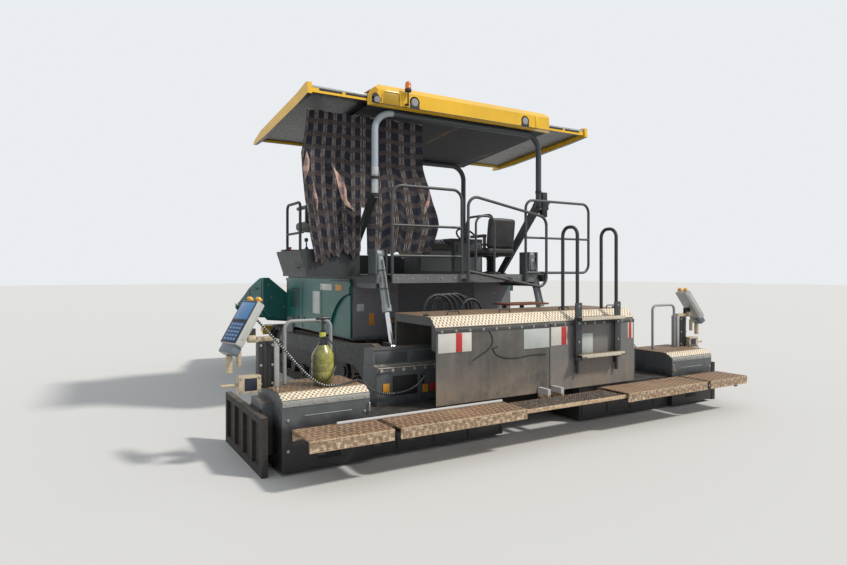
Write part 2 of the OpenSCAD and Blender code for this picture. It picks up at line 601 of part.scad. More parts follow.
// Roof: a bent sheet with deep rims in front and behind.
module canopy_roof() color(yellow) place() intersection() {
    along_y(-roof_half, roof_half) difference() {
        polygon([[roof_rear_x, roof_z - 240], [roof_rear_x, roof_z - 70], [roof_rear_x + 70, roof_z],
            [roof_rear_x + 900, roof_z - 20], [roof_front_x - 70, roof_z - roof_fall],
            [roof_front_x, roof_z - roof_fall - 60], [roof_front_x, roof_z - roof_fall - 215]]);
        polygon([[roof_rear_x + 90, roof_z - 300], [roof_rear_x + 90, roof_z - 50],
            [roof_rear_x + 900, roof_z - 60], [roof_front_x - 90, roof_z - roof_fall - 45],
            [roof_front_x - 90, roof_z - roof_fall - 300]]);
    }
    difference() {
        translate([roof_rear_x - 1, -roof_half - 1, roof_z - 700]) cube([roof_l + 2, 2 * roof_half + 2, 800]);
        for (y = lamps_y) translate([roof_rear_x - 2, y, roof_z - 160]) rotate([0, 90, 0]) cylinder(h = 34, r = 66);
    }
    translate([roof_rear_x, -roof_half, roof_z - 600]) linear_extrude(700) difference() {
        square([roof_front_x - roof_rear_x, 2 * roof_half]);
        for (x = [0, roof_front_x - roof_rear_x], y = [0, 2 * roof_half])
            translate([x, y]) rotate(45) square(120, center = true);
    }
    along_x(roof_rear_x - 1, roof_front_x + 1) polygon([[-roof_half, roof_z - 600], [-roof_half, roof_z - 150],
        [-roof_half + 45, roof_z - 60], [-roof_half + 130, roof_z + 1], [roof_half - 130, roof_z + 1],
        [roof_half - 45, roof_z - 60], [roof_half, roof_z - 150], [roof_half, roof_z - 600]]);
}

module roof_lean() translate([roof_rear_x, 0, roof_z]) rotate([0, slope, 0]) children();
module canopy_wing(left) on_left(left) roof_lean() {
    box(120, roof_l - 120, 1010, roof_wing_y - 30, -165, -135);
    box(112, 142, 1010, roof_wing_y - 10, -190, -114);
    box(roof_l - 146, roof_l - 110, 1010, roof_wing_y - 10, -190, -114);
    along_y(roof_wing_y - 50, roof_wing_y) polygon([[90, -215], [90, -90], [160, -78], [420, -98], [roof_l - 320, -100],
        [roof_l + 20, -150], [roof_l + 60, -190], [roof_l - 60, -205], [roof_l - 500, -225], [420, -225]]);
    for (x = [300, roof_l - 400]) box(x, x + 50, 1010, 1190, -199.6, -160);
}
module canopy_wing_left() color(yellow) place() canopy_wing(true);
module canopy_wing_right() color(yellow) place() canopy_wing(false);

// Dark lining between the roof's rims, carried by the two hoops.
module canopy_lining() color(dark) place() roof_lean()
    box((90.4 + 232 * sin(slope)) / cos(slope), (roof_l - 90.4 + 200 * sin(slope)) / cos(slope),
        -roof_half + 40, roof_half - 40, -232, -200);

// Lamps in the round recesses of the rear rim.
module work_lamps() color(pale) place() for (y = lamps_y)
    translate([roof_rear_x + 32 - seat_gap, y, roof_z - 160]) rotate([0, -90, 0]) {
        cylinder(h = 20, r = 50);
        translate([0, 0, 20]) cylinder(h = 14, r1 = 50, r2 = 38);
    }

// Beacon on a stalk behind the rear rim.
module beacon() color([0.95, 0.45, 0.05]) place() translate([roof_rear_x - 46, 915, roof_z - 235]) {
    cylinder(h = 180, r = 9);
    translate([0, -20, 20]) cube([46 - seat_gap, 40, 16]);
    translate([0, 0, 170]) cylinder(h = 30, r = 40);
    translate([0, 0, 200]) cylinder(h = 70, r = 36);
    translate([0, 0, 270]) cylinder(h = 22, r1 = 36, r2 = 20);
}

// Cloth hung under the left side of the roof as a wind and sun screen.
module curtain() color([0.15, 0.15, 0.2]) place() along_x(curtain_x - 10, curtain_x + 10) difference() {
    translate([300, 1830]) square([1650, under_lining(curtain_x + 10) - 0.5 - 1830]);
    translate([post_y - 35, 1820]) square([70, 660]);
}

// Hoses that arch between the tractor's shelf and the screed.
module hoses() color(dark) place() for (h = [
    // columns: station, middle y, radius of the arch, height of its middle
    [1660, 570, 190, 1190], [1720, 440, 170, 1210], [1790, 330, 200, 1180],
    [1850, 200, 180, 1200], [1910, 80, 160, 1190], [1640, 110, 150, 1170]])
    pipe_yz(h[0], [[h[1] - h[2], 1060 + seat_gap], [h[1] - h[2], h[3] + h[2]], [h[1] + h[2], h[3] + h[2]],
        [h[1] + h[2], 1060 + seat_gap]], 16, h[2] - 1);

// Seats on their posts.
module seat(p) translate([p.x, p.y, p.z + seat_gap]) {
    cylinder(h = 30, r = 130);
    cylinder(h = 260, r = 50);
    box(-250, 270, -235, 235, 250, 370);
    along_y(-225, 225) polygon([[-260, 360], [-130, 360], [-200, 760], [-295, 760]]);
    for (y = [-255, 215]) box(-200, 150, y, y + 40, 330, 540);
}
module seat_left() color(dark) place() seat(left_seat);
module seat_right() color(dark) place() seat(right_seat);

// Lift cylinders: barrel on the tractor, rod on the screed.
module lift_line() translate([lift_top_x, lift_y, lift_top_z]) rotate([0, 180 - lift_a, 0]) children();
module lift_barrel() difference() {
    union() {
        lift_line() {
            translate([0, 0, 40]) cylinder(h = 650, r = barrel_r);
            translate([0, 0, 620]) cylinder(h = 80, r = barrel_r + 8);
        }
        pin_y(lift_top_x, lift_top_z, lift_y - 45, lift_y + 45, eye_r + 8);
    }
    pin_y(lift_top_x, lift_top_z, lift_y - 60, lift_y + 60, 26.5);
    lift_line() translate([0, 0, 110]) cylinder(h = 800, r = 28.5);
}
module lift_rod() difference() {
    union() {
        lift_line() translate([0, 0, 440]) cylinder(h = lift_l - 470, r = 28);
        pin_y(lift_low_x, lift_low_z, lift_y - 35, lift_y + 35, eye_r);
    }
    pin_y(lift_low_x, lift_low_z, lift_y - 60, lift_y + 60, 24.5);
}
module lift_barrel_left() color(pale) place() lift_barrel();
module lift_barrel_right() color(pale) place() mirror([0, 1, 0]) lift_barrel();
module lift_rod_left() color(pale) place() lift_rod();
module lift_rod_right() color(pale) place() mirror([0, 1, 0]) lift_rod();

// Main screed: box with its sole, uprights and bridge.
module screed_base() color(dark) place() {
    difference() {
        box(main_rear_x, main_front_x, -main_half, main_half, sole_z, main_top_z);
        box(main_rear_x + 15, main_front_x - 15, -main_half + 15, main_half - 15, sole_z + 30, main_top_z - 15);
    }
    for (left = [true, false]) on_left(left) {
        for (y = [lift_y - 75, lift_y + 55])
            along_y(y, y + 20) polygon([[1480, main_top_z - 5], [main_front_x - 10, main_top_z - 5],
                [1790, lift_low_z + 60], [1630, lift_low_z + 60]]);
        pin_y(lift_low_x, lift_low_z, lift_y - 75, lift_y + 75, 22);
        box(1480, main_front_x - 40, lift_y + 50, body_y + 30 - seat_gap, main_top_z - 5, main_top_z + 90);
    }
    box(1420, 1560, -lift_y, lift_y, main_top_z - 5, main_top_z + 150);
    // guide bar of the extensions on its feet
    pin_y(guide_x, guide_z, -main_half + 2, main_half - 2, guide_r);
    for (y = [-main_half, -8, main_half - 16]) box(guide_x - 20, guide_x + 20, y, y + 16, main_top_z - 5, guide_z + 20);
}

// Covers of the main screed: two hollow hoods with tread plates.
module cover_half(y1, y2) {
    top = hood_top_z;
    difference() {
        along_y(y1, y2) polygon([[hood_rear_x, walk_z], [hood_rear_x, 1100], [hood_rear_x + 14, 1112],
            [hood_rear_x + 14, 1130], [hood_rear_x + 100, top], [1260, top], [1260, main_top_z + seat_gap],
            [1150, main_top_z + seat_gap], [1150, walk_z]]);
        along_y(y1 - 1, y2 + 1) polygon([[hood_rear_x + 12, 1094],
            [hood_rear_x + 26, 1106], [hood_rear_x + 26, 1124], [hood_rear_x + 105, top - 14],
            [1240, top - 14], [1240, 380], [hood_rear_x + 12, 380]]);
    }
    for (y = [y1, y2 - 12]) along_y(y, y + 12) difference() {
        polygon([[hood_rear_x + 5, walk_z + 510], [hood_rear_x + 5, 1105], [hood_rear_x + 100, top - 5],
            [1250, top - 5], [1250, walk_z + 510]]);
        translate([hood_rear_x + 80, walk_z + 500]) square([1150 - hood_rear_x, 240]);
    }
}
module screed_covers() color(slate) place() {
    cover_half(-hood_half, -60);
    cover_half(-50, hood_half);
    box(1241, 1259, -62, -48, main_top_z + 20, hood_top_z - 20);
}

// Ladder: steps and two round-topped rails on the right half of the covers.
module ladder() color(dark) place() {
    for (y = [-420, -1020])
        pipe_xz(y, [[hood_rear_x - 30, 560], [hood_rear_x - 30, 2140], [hood_rear_x + 190, 2140],
            [hood_rear_x + 190, hood_top_z + seat_gap]], 19, 95);
    for (z = [760, 1160]) box(hood_rear_x - 130, hood_rear_x - 5, -1046, -394, z - 30, z);
    for (y = [-420, -1020]) box(hood_rear_x - 35, hood_rear_x - seat_gap, y - 12, y + 12, 640, 700);
}

// Walkway in the middle, which the outer ones pass over.
module middle_walkway() color(cream) place() {
    box(-10, 320, -walk_inner - 120, walk_inner + 120, walk_z - 52, walk_z - 24);
    for (y = [-110, 70]) box(300, hood_rear_x - seat_gap, y, y + 40, walk_z - 40, walk_z + 60);
}

// Tow arms along both sides of the tractor.
module tow_arms() color(dark) place() for (left = [true, false]) on_left(left) difference() {
    along_y(body_y + 30, body_y + 110) polygon([[1440, main_top_z + seat_gap], [main_front_x - 20, main_top_z + seat_gap],
        [2150, 560], [4700, tow_z - 85], [4800, tow_z - 100], [4930, tow_z - 80], [4960, tow_z],
        [4930, tow_z + 80], [4800, tow_z + 100], [2300, 800], [1700, 860], [1440, 800]]);
    pin_y(tow_x, tow_z, body_y + 20, body_y + 115, pin_r + 0.5);
}

// Extension: body behind the main screed, guide box and the end box with its tread.
module extension(left) on_left(left) {
    difference() {
        box(500, 1110, 530, box_in + 10, sole_z, main_top_z - 20);
        box(515, 1095, 545, box_in - 10, sole_z + 30, main_top_z - 34);
    }
    box(800, 1100, 990, 1790, main_top_z - 25, 750);
    box(900, 1100, 1000, 1780, 740, 900);
    box(785, 805, 985, 1795, 700, 730);
    difference() {
        along_y(box_in, box_out) polygon([[450, sole_z], [450, 600], [465, 612], [540, box_top_z], [1140, box_top_z],
            [1140, sole_z]]);
        along_y(box_in + 15, box_out - 15) polygon([[465, sole_z + 30], [465, 590], [545, box_top_z - 15],
            [1125, box_top_z - 15], [1125, sole_z + 30]]);
        for (i = [-0.5, 0.5], k = [-0.5, 0.5])
            pin_y(end_bolt_mid.x + i * end_bolt_x, end_bolt_mid.y + k * end_bolt_z, box_out - 20, box_out + 5, end_bolt_r);
    }
    // lug that runs on the guide bar
    difference() {
        union() {
            box(1040, 1105, 545, 605, main_top_z - 25, main_top_z + 20);
            box(1040, guide_x + 60, 545, 605, main_top_z + 8, guide_z + 75);
        }
        pin_y(guide_x, guide_z, 500, 650, guide_r + 0.5);
    }
    // guide of the end gate
    box(700, 1040, box_out - 5, half_w - 60.5, 120, box_top_z - 90);
    // rail hoop that holds the sprayer
    pipe_yz(880, [[box_out - 160, box_top_z - 5], [box_out - 160, box_top_z + 565],
        [box_in + 190, box_top_z + 565], [box_in + 190, box_top_z - 5]], 16, 70);
}
module extension_left() color(slate) place() extension(true);
module extension_right() color(slate) place() extension(false);

module walkway(left) on_left(left) {
    // columns: first y, last y
    for (w = [[walk_inner, box_in - 40], [box_in + 20, box_out - 50]]) difference() {
        box(-50, 345, w[0], w[1], walk_z - 90, walk_z);
        box(-38, 333, w[0] - 1, w[1] + 1, walk_z - 95, walk_z - 10);
    }
    for (y = [walk_inner + 120, 1300, box_in - 130]) box(335, 500 - seat_gap, y, y + 40, walk_z - 85, walk_z - 40);
    for (y = [box_in + 70, box_out - 130]) box(335, 450 - seat_gap, y, y + 40, walk_z - 85, walk_z - 40);
}
module walkway_left() color(cream) place() {
    walkway(true);
    // bar that lies along the front edge
    pin_y(300, walk_z + 12, 700, 2400, 14);
}
module walkway_right() color(cream) place() walkway(false);

module end_gate(left) on_left(left) {
    difference() {
        box(500, 1750, half_w - 52, half_w, 0, 480);
        for (x = [560, 860, 1160, 1460])
            box(x, x + 230, half_w - 30, half_w + 1, 60, 420);
    }
    box(720, 1020, half_w - 60, half_w - 45, 100, box_top_z - 150);
}
module end_gate_left() color(dark) place() end_gate(true);
module end_gate_right() color(dark) place() end_gate(false);

// Post at the outer end with its brackets, sensors and tilted control panel.
module control_post(left) on_left(left) {
    o = box_out;
    t = box_top_z;
    box(870, 960, o - 110, o - 55, t + seat_gap, t + 415);
    box(860, 970, o - 60, o + 70, t + seat_gap, t + 405);
    box(880, 950, o - 70, o + 150, t + 395, t + 440);
    box(885, 925, o + 90, o + 190, t + 430, t + 515);
    translate(panel_at) rotate([0, 0, 10]) rotate([26, 0, 0]) {
        box(-115, 115, -45, 40, -210, 205);
        box(-95, 95, -60, 30, -290, -200);
    }
    // columns: station, distance beyond the end box, radius, height, length of the rod
    for (c = [[880, 315, 28, 150, 50], [905, 230, 22, 200, 85]]) translate([c[0], o + c[1], t + c[3]]) {
        cylinder(h = 150, r = c[2]);
        translate([0, 0, 140]) cylinder(h = c[4], r = 9);
    }
    // open bracket box with its bar
    difference() {
        box(810, 900, o + 65, o + 250, t - 20, t + 125);
        box(822, 901, o + 90, o + 238, t - 8, t + 113);
    }
    pin_y(855, t + 50, o + 245, o + 390, 14);
}
module control_post_left() color(dark) place() control_post(true);
module control_post_right() color(dark) place() control_post(false);

// Sprayer bottle that stands at the left hoop.
module sprayer() color([0.75, 0.75, 0.15]) place() translate([sprayer_at.x, sprayer_at.y, box_top_z + seat_gap]) {
    cylinder(h = 70, r1 = 58, r2 = 92);
    translate([0, 0, 70]) cylinder(h = 200, r = 98);
    translate([0, 0, 270]) cylinder(h = 90, r1 = 96, r2 = 46);
    translate([0, 0, 360]) cylinder(h = 130, r = 24);
    translate([0, 0, 490]) cylinder(h = 100, r = 12);
    translate([-18, -65, 580]) cube([36, 130, 26]);
}

// Cable from the left control panel to the step box.
cable_r = 13;
cable_route = [panel_at + [-15.7, -77.6, 43.7], panel_at + [-8, -121, 22], panel_at + [-40, -172, -42],
    [785, box_out - 110, box_top_z + 350], [705, box_out - 210, box_top_z + 212],
    [632, box_in + 460, box_top_z + 85], [600, box_in + 360, box_top_z + 26],
    [602, box_in + 230, box_top_z + 14], [645, box_in + 120, box_top_z + 14], [692, box_in + 50, box_top_z + 14],
    [716, box_in - 12, box_top_z + 18], [738, box_in - 75, box_top_z - 16], [750, box_in - 150, box_top_z - 80],
    [756, 1760, 515], [756, 1600, 500], [748, 1450, 525], [738, 1355, 580], [744, 1305, 628],
    [770, 1296, 646], [798, 1296, 650]];
function blend(a, b, t) = a + (b - a) * t;
function curve(p, i, t) = let(a = p[max(i - 1, 0)], b = p[i], c = p[i + 1], d = p[min(i + 2, len(p) - 1)])
    0.5 * (2 * b + (c - a) * t + (2 * a - 5 * b + 4 * c - d) * t * t + (3 * b - a - 3 * c + d) * t * t * t);
module cord(p, r, per, sides) {
    n = (len(p) - 1) * per;
    q = [for (k = [0 : n]) curve(p, min(floor(k / per), len(p) - 2), k == n ? 1 : (k % per) / per)];
    ring = [for (k = [0 : n]) let(
        d = q[min(k + 1, n)] - q[max(k - 1, 0)], u = d / norm(d),
        s = cross([0, 0, 1], u), s1 = s / norm(s), s2 = cross(u, s1))
        for (j = [0 : sides - 1]) q[k] + r * (cos(360 * j / sides) * s1 + sin(360 * j / sides) * s2)];
    faces = concat(
        [[for (j = [0 : sides - 1]) j]],
        [for (k = [0 : n - 1], j = [0 : sides - 1])
            [k * sides + j, (k + 1) * sides + j, (k + 1) * sides + (j + 1) % sides, k * sides + (j + 1) % sides]],
        [[for (j = [0 : sides - 1]) n * sides + sides - 1 - j]]);
    polyhedron(ring, faces);
}
module panel_cable() color(dark) place() cord(cable_route, cable_r, 3, 8);

chassis_frame();
lift_brackets();
auger_hanger();
rear_shelf();
engine_block();
side_panels();
engine_cover();
conveyors();
track_left();
track_right();
track_frame_left();
track_frame_right();
platform();
console();
guard_hoops();
rear_loops();
side_rails();
canopy_posts();
canopy_roof();
canopy_lining();
canopy_wing_left();
canopy_wing_right();
work_lamps();
beacon();
curtain();
hoses();
hopper_wing_left();
hopper_wing_right();
hopper_apron();
push_beam();
push_roller_left();
push_roller_right();
seat_left();
seat_right();
lift_barrel_left();
lift_barrel_right();
lift_rod_left();
lift_rod_right();
auger_left();
auger_right();
screed_base();
screed_covers();
ladder();
middle_walkway();
tow_arms();
extension_left();
extension_right();
walkway_left();
walkway_right();
end_gate_left();
end_gate_right();
control_post_left();
control_post_right();
sprayer();
panel_cable();
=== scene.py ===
import math
from functools import reduce

import bpy
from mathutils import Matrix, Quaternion, Vector


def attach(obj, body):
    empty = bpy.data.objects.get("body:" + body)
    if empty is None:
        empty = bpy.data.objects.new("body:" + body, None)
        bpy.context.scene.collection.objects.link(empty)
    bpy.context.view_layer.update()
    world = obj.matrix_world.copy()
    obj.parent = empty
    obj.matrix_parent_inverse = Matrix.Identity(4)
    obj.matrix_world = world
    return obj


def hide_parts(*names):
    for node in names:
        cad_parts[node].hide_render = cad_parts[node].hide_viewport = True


bl_info = {
    "name": "Asphalt Paver Looks",
    "version": (1, 0, 0),
    "blender": (4, 5, 0),
    "location": "View3D > Sidebar > Paver",
    "description": "Finishes and small parts for a tracked asphalt paver",
    "category": "Object",
}

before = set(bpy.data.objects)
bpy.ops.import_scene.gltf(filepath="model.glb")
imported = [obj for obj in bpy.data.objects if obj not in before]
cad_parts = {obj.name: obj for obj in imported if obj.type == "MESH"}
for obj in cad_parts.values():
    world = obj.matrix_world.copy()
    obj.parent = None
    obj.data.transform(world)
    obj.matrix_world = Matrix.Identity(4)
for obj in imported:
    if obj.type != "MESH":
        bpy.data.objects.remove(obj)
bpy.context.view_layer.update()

CABLE_ROUTE = [
    (884.3, 2932.4, 1258.7), (892, 2889, 1237), (860, 2838, 1173), (785, 2700, 1000), (705, 2600, 862),
    (632, 2490, 735), (600, 2390, 676), (602, 2260, 664), (645, 2150, 664), (692, 2080, 664),
    (716, 2018, 668), (738, 1955, 634), (750, 1880, 570), (756, 1760, 515), (756, 1600, 500),
    (748, 1450, 525), (738, 1355, 580), (744, 1305, 628), (770, 1296, 646), (798, 1296, 650)]

# Sunlit strips along the folds of the curtain, painted as bright flaps, as rows of y, z and width.
FOLDS = [
    [(1.67, 2.88, 0.006), (1.56, 2.75, 0.1), (1.52, 2.62, 0.12), (1.5, 2.5, 0.08), (1.45, 2.43, 0.06),
     (1.37, 2.36, 0.006)],
    [(1.965, 3.02, 0.006), (1.96, 2.92, 0.05), (1.97, 2.82, 0.06), (1.98, 2.7, 0.006)],
    [(0.335, 2.7, 0.006), (0.335, 2.58, 0.05), (0.365, 2.48, 0.05), (0.41, 2.37, 0.006)],
    [(1.885, 2.7, 0.006), (1.86, 2.56, 0.04), (1.835, 2.46, 0.04), (1.83, 2.35, 0.006)]]

# Stations count forward, in metres, as in the part's source. This one is the frame's origin.
MIDDLE = 3.5925
SIDES = (("left", 1), ("right", -1))
DIAGONAL = 0.785
UP, REARWARD = (0, 0, 1), (-1, 0, 0)

# The photo's camera, worked out from the machine's straight edges.
PHOTO_WIDTH, FOCAL_LENGTH, HORIZON_SHIFT = 847.0, 600.0, -10.5
CAMERA_STATION, CAMERA_SIDE, CAMERA_HEIGHT, CAMERA_YAW = -4.27, 4.30, 1.65, 30.8


def at(station, y, z):
    """Turn a station along the machine into a place in the frame."""
    return Vector((station - MIDDLE, y, z))


# Materials


class Nodes:
    """A short hand for building one material's node tree."""

    def __init__(self, name):
        self.material = bpy.data.materials.get(name) or bpy.data.materials.new(name)
        self.material.use_nodes = True
        self.tree = self.material.node_tree
        self.tree.nodes.clear()
        self.out = self.add("ShaderNodeOutputMaterial")
        self.shader = self.add("ShaderNodeBsdfPrincipled")
        self.join(self.shader.outputs[0], self.out.inputs[0])
        self.coords = self.add("ShaderNodeTexCoord")
        self.place = self.coords.outputs["Object"]
        self.uv = self.coords.outputs["UV"]

    def add(self, kind):
        return self.tree.nodes.new(kind)

    def join(self, a, b):
        self.tree.links.new(a, b)

    def put(self, socket, value):
        if isinstance(value, bpy.types.NodeSocket):
            self.join(value, socket)
        elif isinstance(value, (tuple, list)):
            solid = len(value) == 3 and len(socket.default_value) == 4
            socket.default_value = (*value, 1.0) if solid else value
        else:
            socket.default_value = value

    def noise(self, scale, detail=4.0, rough=0.6, stretch=None):
        n = self.add("ShaderNodeTexNoise")
        n.inputs["Scale"].default_value = scale
        n.inputs["Detail"].default_value = detail
        n.inputs["Roughness"].default_value = rough
        self.join(self.moved(stretch), n.inputs["Vector"])
        return n.outputs["Fac"]

    def cells(self, scale, randomness=1.0, stretch=None, turn=0.0):
        n = self.add("ShaderNodeTexVoronoi")
        n.feature = "F1"
        n.inputs["Scale"].default_value = scale
        n.inputs["Randomness"].default_value = randomness
        self.join(self.moved(stretch, turn), n.inputs["Vector"])
        return n.outputs["Distance"]

    def moved(self, stretch=None, turn=0.0):
        if not stretch and not turn:
            return self.place
        m = self.add("ShaderNodeMapping")
        m.inputs["Scale"].default_value = stretch or (1, 1, 1)
        m.inputs["Rotation"].default_value = turn if isinstance(turn, tuple) else (0, 0, turn)
        self.join(self.place, m.inputs["Vector"])
        return m.outputs[0]

    def ramp(self, value, low, high, a=0.0, b=1.0):
        n = self.add("ShaderNodeMapRange")
        n.clamp = True
        for socket, v in zip(("From Min", "From Max", "To Min", "To Max"), (low, high, a, b)):
            n.inputs[socket].default_value = v
        self.put(n.inputs["Value"], value)
        return n.outputs[0]

    def math(self, kind, a, b=0.0, clamp=False):
        n = self.add("ShaderNodeMath")
        n.operation = kind
        n.use_clamp = clamp
        self.put(n.inputs[0], a)
        self.put(n.inputs[1], b)
        return n.outputs[0]

    def times(self, a, b):
        return self.math("MULTIPLY", a, b)

    def mix(self, amount, a, b):
        n = self.add("ShaderNodeMix")
        n.data_type = "RGBA"
        self.put(n.inputs[0], amount)
        self.put(n.inputs[6], a)
        self.put(n.inputs[7], b)
        return n.outputs[2]

    def xyz(self, vector=None):
        n = self.add("ShaderNodeSeparateXYZ")
        self.join(vector or self.place, n.inputs[0])
        return n.outputs

    def facing(self):
        return self.xyz(self.add("ShaderNodeNewGeometry").outputs["Normal"])

    def bump(self, height, strength=0.3, distance=0.002):
        n = self.add("ShaderNodeBump")
        n.inputs["Strength"].default_value = strength
        n.inputs["Distance"].default_value = distance
        self.join(height, n.inputs["Height"])
        self.join(n.outputs[0], self.shader.inputs["Normal"])

    def set(self, colour=None, rough=None, metal=None, coat=None):
        if colour is not None:
            self.put(self.shader.inputs["Base Color"], colour)
        if rough is not None:
            self.put(self.shader.inputs["Roughness"], rough)
        if metal is not None:
            self.put(self.shader.inputs["Metallic"], metal)
        if coat is not None:
            self.shader.inputs["Coat Weight"].default_value = coat
            self.shader.inputs["Coat Roughness"].default_value = 0.2
        return self.material


def between(n, value, low, high, soft=0.002):
    """A mask that is 1 where low < value < high."""
    up = n.ramp(value, low - soft, low + soft)
    down = n.ramp(value, high - soft, high + soft, 1.0, 0.0)
    return n.times(up, down)


def all_of(n, *masks):
    """A mask that is 1 where every one of them is."""
    return reduce(n.times, masks)


DUST = (0.36, 0.29, 0.21)


def worn(n, colour, dust=0.35, grime=0.45, mud=0.5, streak=0.25, rough=0.45):
    """Sun, dust on what faces up, asphalt grime low down and run marks on the sides."""
    big = n.noise(1.7, 5.0, 0.65)
    small = n.noise(23.0, 6.0, 0.7)
    tone = n.mix(n.ramp(big, 0.3, 0.7, 0.0, 0.35), colour, tuple(c * 0.55 for c in colour))
    runs = n.noise(9.0, 5.0, 0.6, stretch=(1.0, 1.0, 0.06))
    tone = n.mix(n.ramp(runs, 0.52, 0.75, 0.0, streak), tone, (0.05, 0.045, 0.04))
    flat = n.ramp(n.facing()[2], 0.5, 0.95)
    tone = n.mix(n.times(flat, n.ramp(small, 0.35, 0.7, dust * 0.4, dust * 1.5)), tone, DUST)
    low = n.ramp(n.xyz()[2], 0.1, 1.3, 1.0, 0.0)
    spots = n.ramp(n.math("ADD", n.times(low, 0.35), n.noise(5.0, 7.0, 0.75)), 0.62, 0.85, 0.0, mud)
    tone = n.mix(spots, tone, (0.045, 0.038, 0.032))
    tone = n.mix(n.ramp(small, 0.58, 0.8, 0.0, grime), tone, (0.07, 0.06, 0.05))
    return tone, n.ramp(small, 0.3, 0.8, rough * 0.8, min(1.0, rough * 1.5)), small


def paint(name, colour, metal=0.0, rough=0.42, coat=0.0, depth=0.0015, **marks):
    n = Nodes(name)
    tone, gloss, small = worn(n, colour, rough=rough, **marks)
    n.bump(small, 0.25, depth)
    return n.set(tone, gloss, metal, coat)


def tread(n, upright=False):
    """Raised bars of a tread plate: two crossed sets of long drops."""
    drops = ((0.0, 1.0, 0.42), (0.0, 0.42, 1.0)) if upright else ((1.0, 0.42, 0.0), (0.42, 1.0, 0.0))
    a, b = (n.cells(26.0, 0.0, drop, (DIAGONAL, 0, 0) if upright else DIAGONAL) for drop in drops)
    return n.ramp(n.math("MINIMUM", a, b), 0.12, 0.34, 1.0, 0.0)


def tread_plate(name):
    """Rusty tread plate with worn bright bars, and pale chipped paint on its edges."""
    n = Nodes(name)
    bars = tread(n)
    patch = n.noise(3.1, 6.0, 0.7)
    small = n.noise(60.0, 5.0, 0.7)
    flat = n.ramp(n.facing()[2], 0.6, 0.9)
    base = n.mix(n.ramp(patch, 0.35, 0.7), (0.2, 0.1, 0.05), (0.1, 0.065, 0.045))
    base = n.mix(n.ramp(n.noise(1.3, 5.0, 0.7), 0.5, 0.7, 0.0, 0.5), base, (0.42, 0.28, 0.17))
    base = n.mix(n.times(bars, n.ramp(small, 0.3, 0.65, 0.25, 1.0)), base, (0.52, 0.36, 0.22))
    chips = n.ramp(n.noise(14.0, 7.0, 0.8), 0.36, 0.6)
    bars_up = tread(n, upright=True)
    side = n.mix(n.times(chips, n.ramp(bars_up, 0.0, 1.0, 0.3, 1.0)), (0.17, 0.09, 0.045), (0.7, 0.58, 0.42))
    tone = n.mix(flat, side, base)
    # what stands higher than the plates is bare metal
    rod = n.ramp(n.xyz()[2], 0.4012, 0.402)
    tone = n.mix(rod, tone, (0.5, 0.49, 0.48))
    n.bump(n.times(bars, n.math("SUBTRACT", flat, rod, True)), 0.9, 0.004)
    return n.set(tone, n.ramp(small, 0.3, 0.8, 0.55, 0.9), 0.0)


def step_tread(name, front, cream=(0.86, 0.75, 0.58)):
    """Tread plate whose rear nose, behind station `front`, is worn down to bright cream paint."""
    n = Nodes(name)
    bars = tread(n)
    patch = n.noise(4.2, 6.0, 0.72)
    fine = n.noise(70.0, 5.0, 0.75)
    nose = n.ramp(n.math("ADD", n.xyz()[0], n.times(patch, 0.05)),
                  front - MIDDLE, front - MIDDLE + 0.05, 1.0, 0.0)
    old = n.mix(n.ramp(patch, 0.35, 0.7), (0.21, 0.12, 0.06), (0.1, 0.07, 0.05))
    old = n.mix(n.times(bars, n.ramp(fine, 0.3, 0.65, 0.2, 0.9)), old, (0.42, 0.31, 0.2))
    dots = n.ramp(n.cells(34.0, 0.0, (1.0, 1.0, 0.0), DIAGONAL), 0.4, 0.54)
    bright = n.mix(n.times(dots, n.ramp(fine, 0.3, 0.5, 0.5, 1.0)), cream, (0.12, 0.085, 0.06))
    bright = n.mix(n.ramp(n.noise(11.0, 7.0, 0.8), 0.52, 0.7, 0.0, 0.6), bright, (0.3, 0.2, 0.13))
    n.bump(bars, 0.9, 0.004)
    return n.set(n.mix(nose, old, bright), n.ramp(fine, 0.3, 0.8, 0.5, 0.85))


def chipped(name, colour, under=(0.12, 0.08, 0.05), amount=0.55, rough=0.55):
    """Paint that is chipped down to dirty steel."""
    n = Nodes(name)
    chips = n.ramp(n.noise(34.0, 8.0, 0.8), amount, amount + 0.07)
    soft = n.ramp(n.noise(6.0, 5.0, 0.7), 0.35, 0.75, 0.0, 0.5)
    tone = n.mix(soft, colour, tuple(c * 0.6 for c in colour))
    tone = n.mix(chips, tone, under)
    n.bump(chips, 0.4, 0.001)
    return n.set(tone, rough)


def stained(name):
    """Grey sheet browned by hot asphalt, in runs from the top, and tan at the foot that is partly smears and
    partly a painted reflection.
    """
    n = Nodes(name)
    runs = n.noise(7.0, 7.0, 0.7, stretch=(1.0, 1.0, 0.12))
    cloud = n.noise(2.2, 6.0, 0.7)
    fine = n.noise(40.0, 6.0, 0.75)
    tone = n.mix(n.ramp(runs, 0.35, 0.68), (0.12, 0.112, 0.103), (0.05, 0.047, 0.044))
    tone = n.mix(n.ramp(cloud, 0.45, 0.75, 0.0, 0.55), tone, (0.19, 0.178, 0.163))
    low = n.times(n.ramp(n.xyz()[2], 0.42, 0.78, 1.0, 0.0), n.ramp(n.noise(3.1, 6.0, 0.7), 0.35, 0.6))
    # the right section is painted paler than the left: painted light, where grazing sun falls on it
    tone = n.mix(n.ramp(n.xyz()[1], -0.057, -0.053, 0.4, 0.0), tone, (0.27, 0.265, 0.26))
    # tan at the foot: smears, and also a painted reflection along the bottom of the sheet
    tone = n.mix(n.times(low, 0.65), tone, (0.34, 0.26, 0.185))
    tone = n.mix(n.ramp(fine, 0.6, 0.75, 0.0, 0.6), tone, (0.05, 0.04, 0.035))
    ends = n.ramp(n.facing()[0], -0.6, -0.4)
    tone = n.mix(ends, tone, n.mix(n.ramp(cloud, 0.35, 0.7), (0.045, 0.05, 0.056), (0.085, 0.08, 0.072)))
    n.bump(runs, 0.15, 0.002)
    return n.set(tone, n.ramp(fine, 0.3, 0.8, 0.4, 0.75))


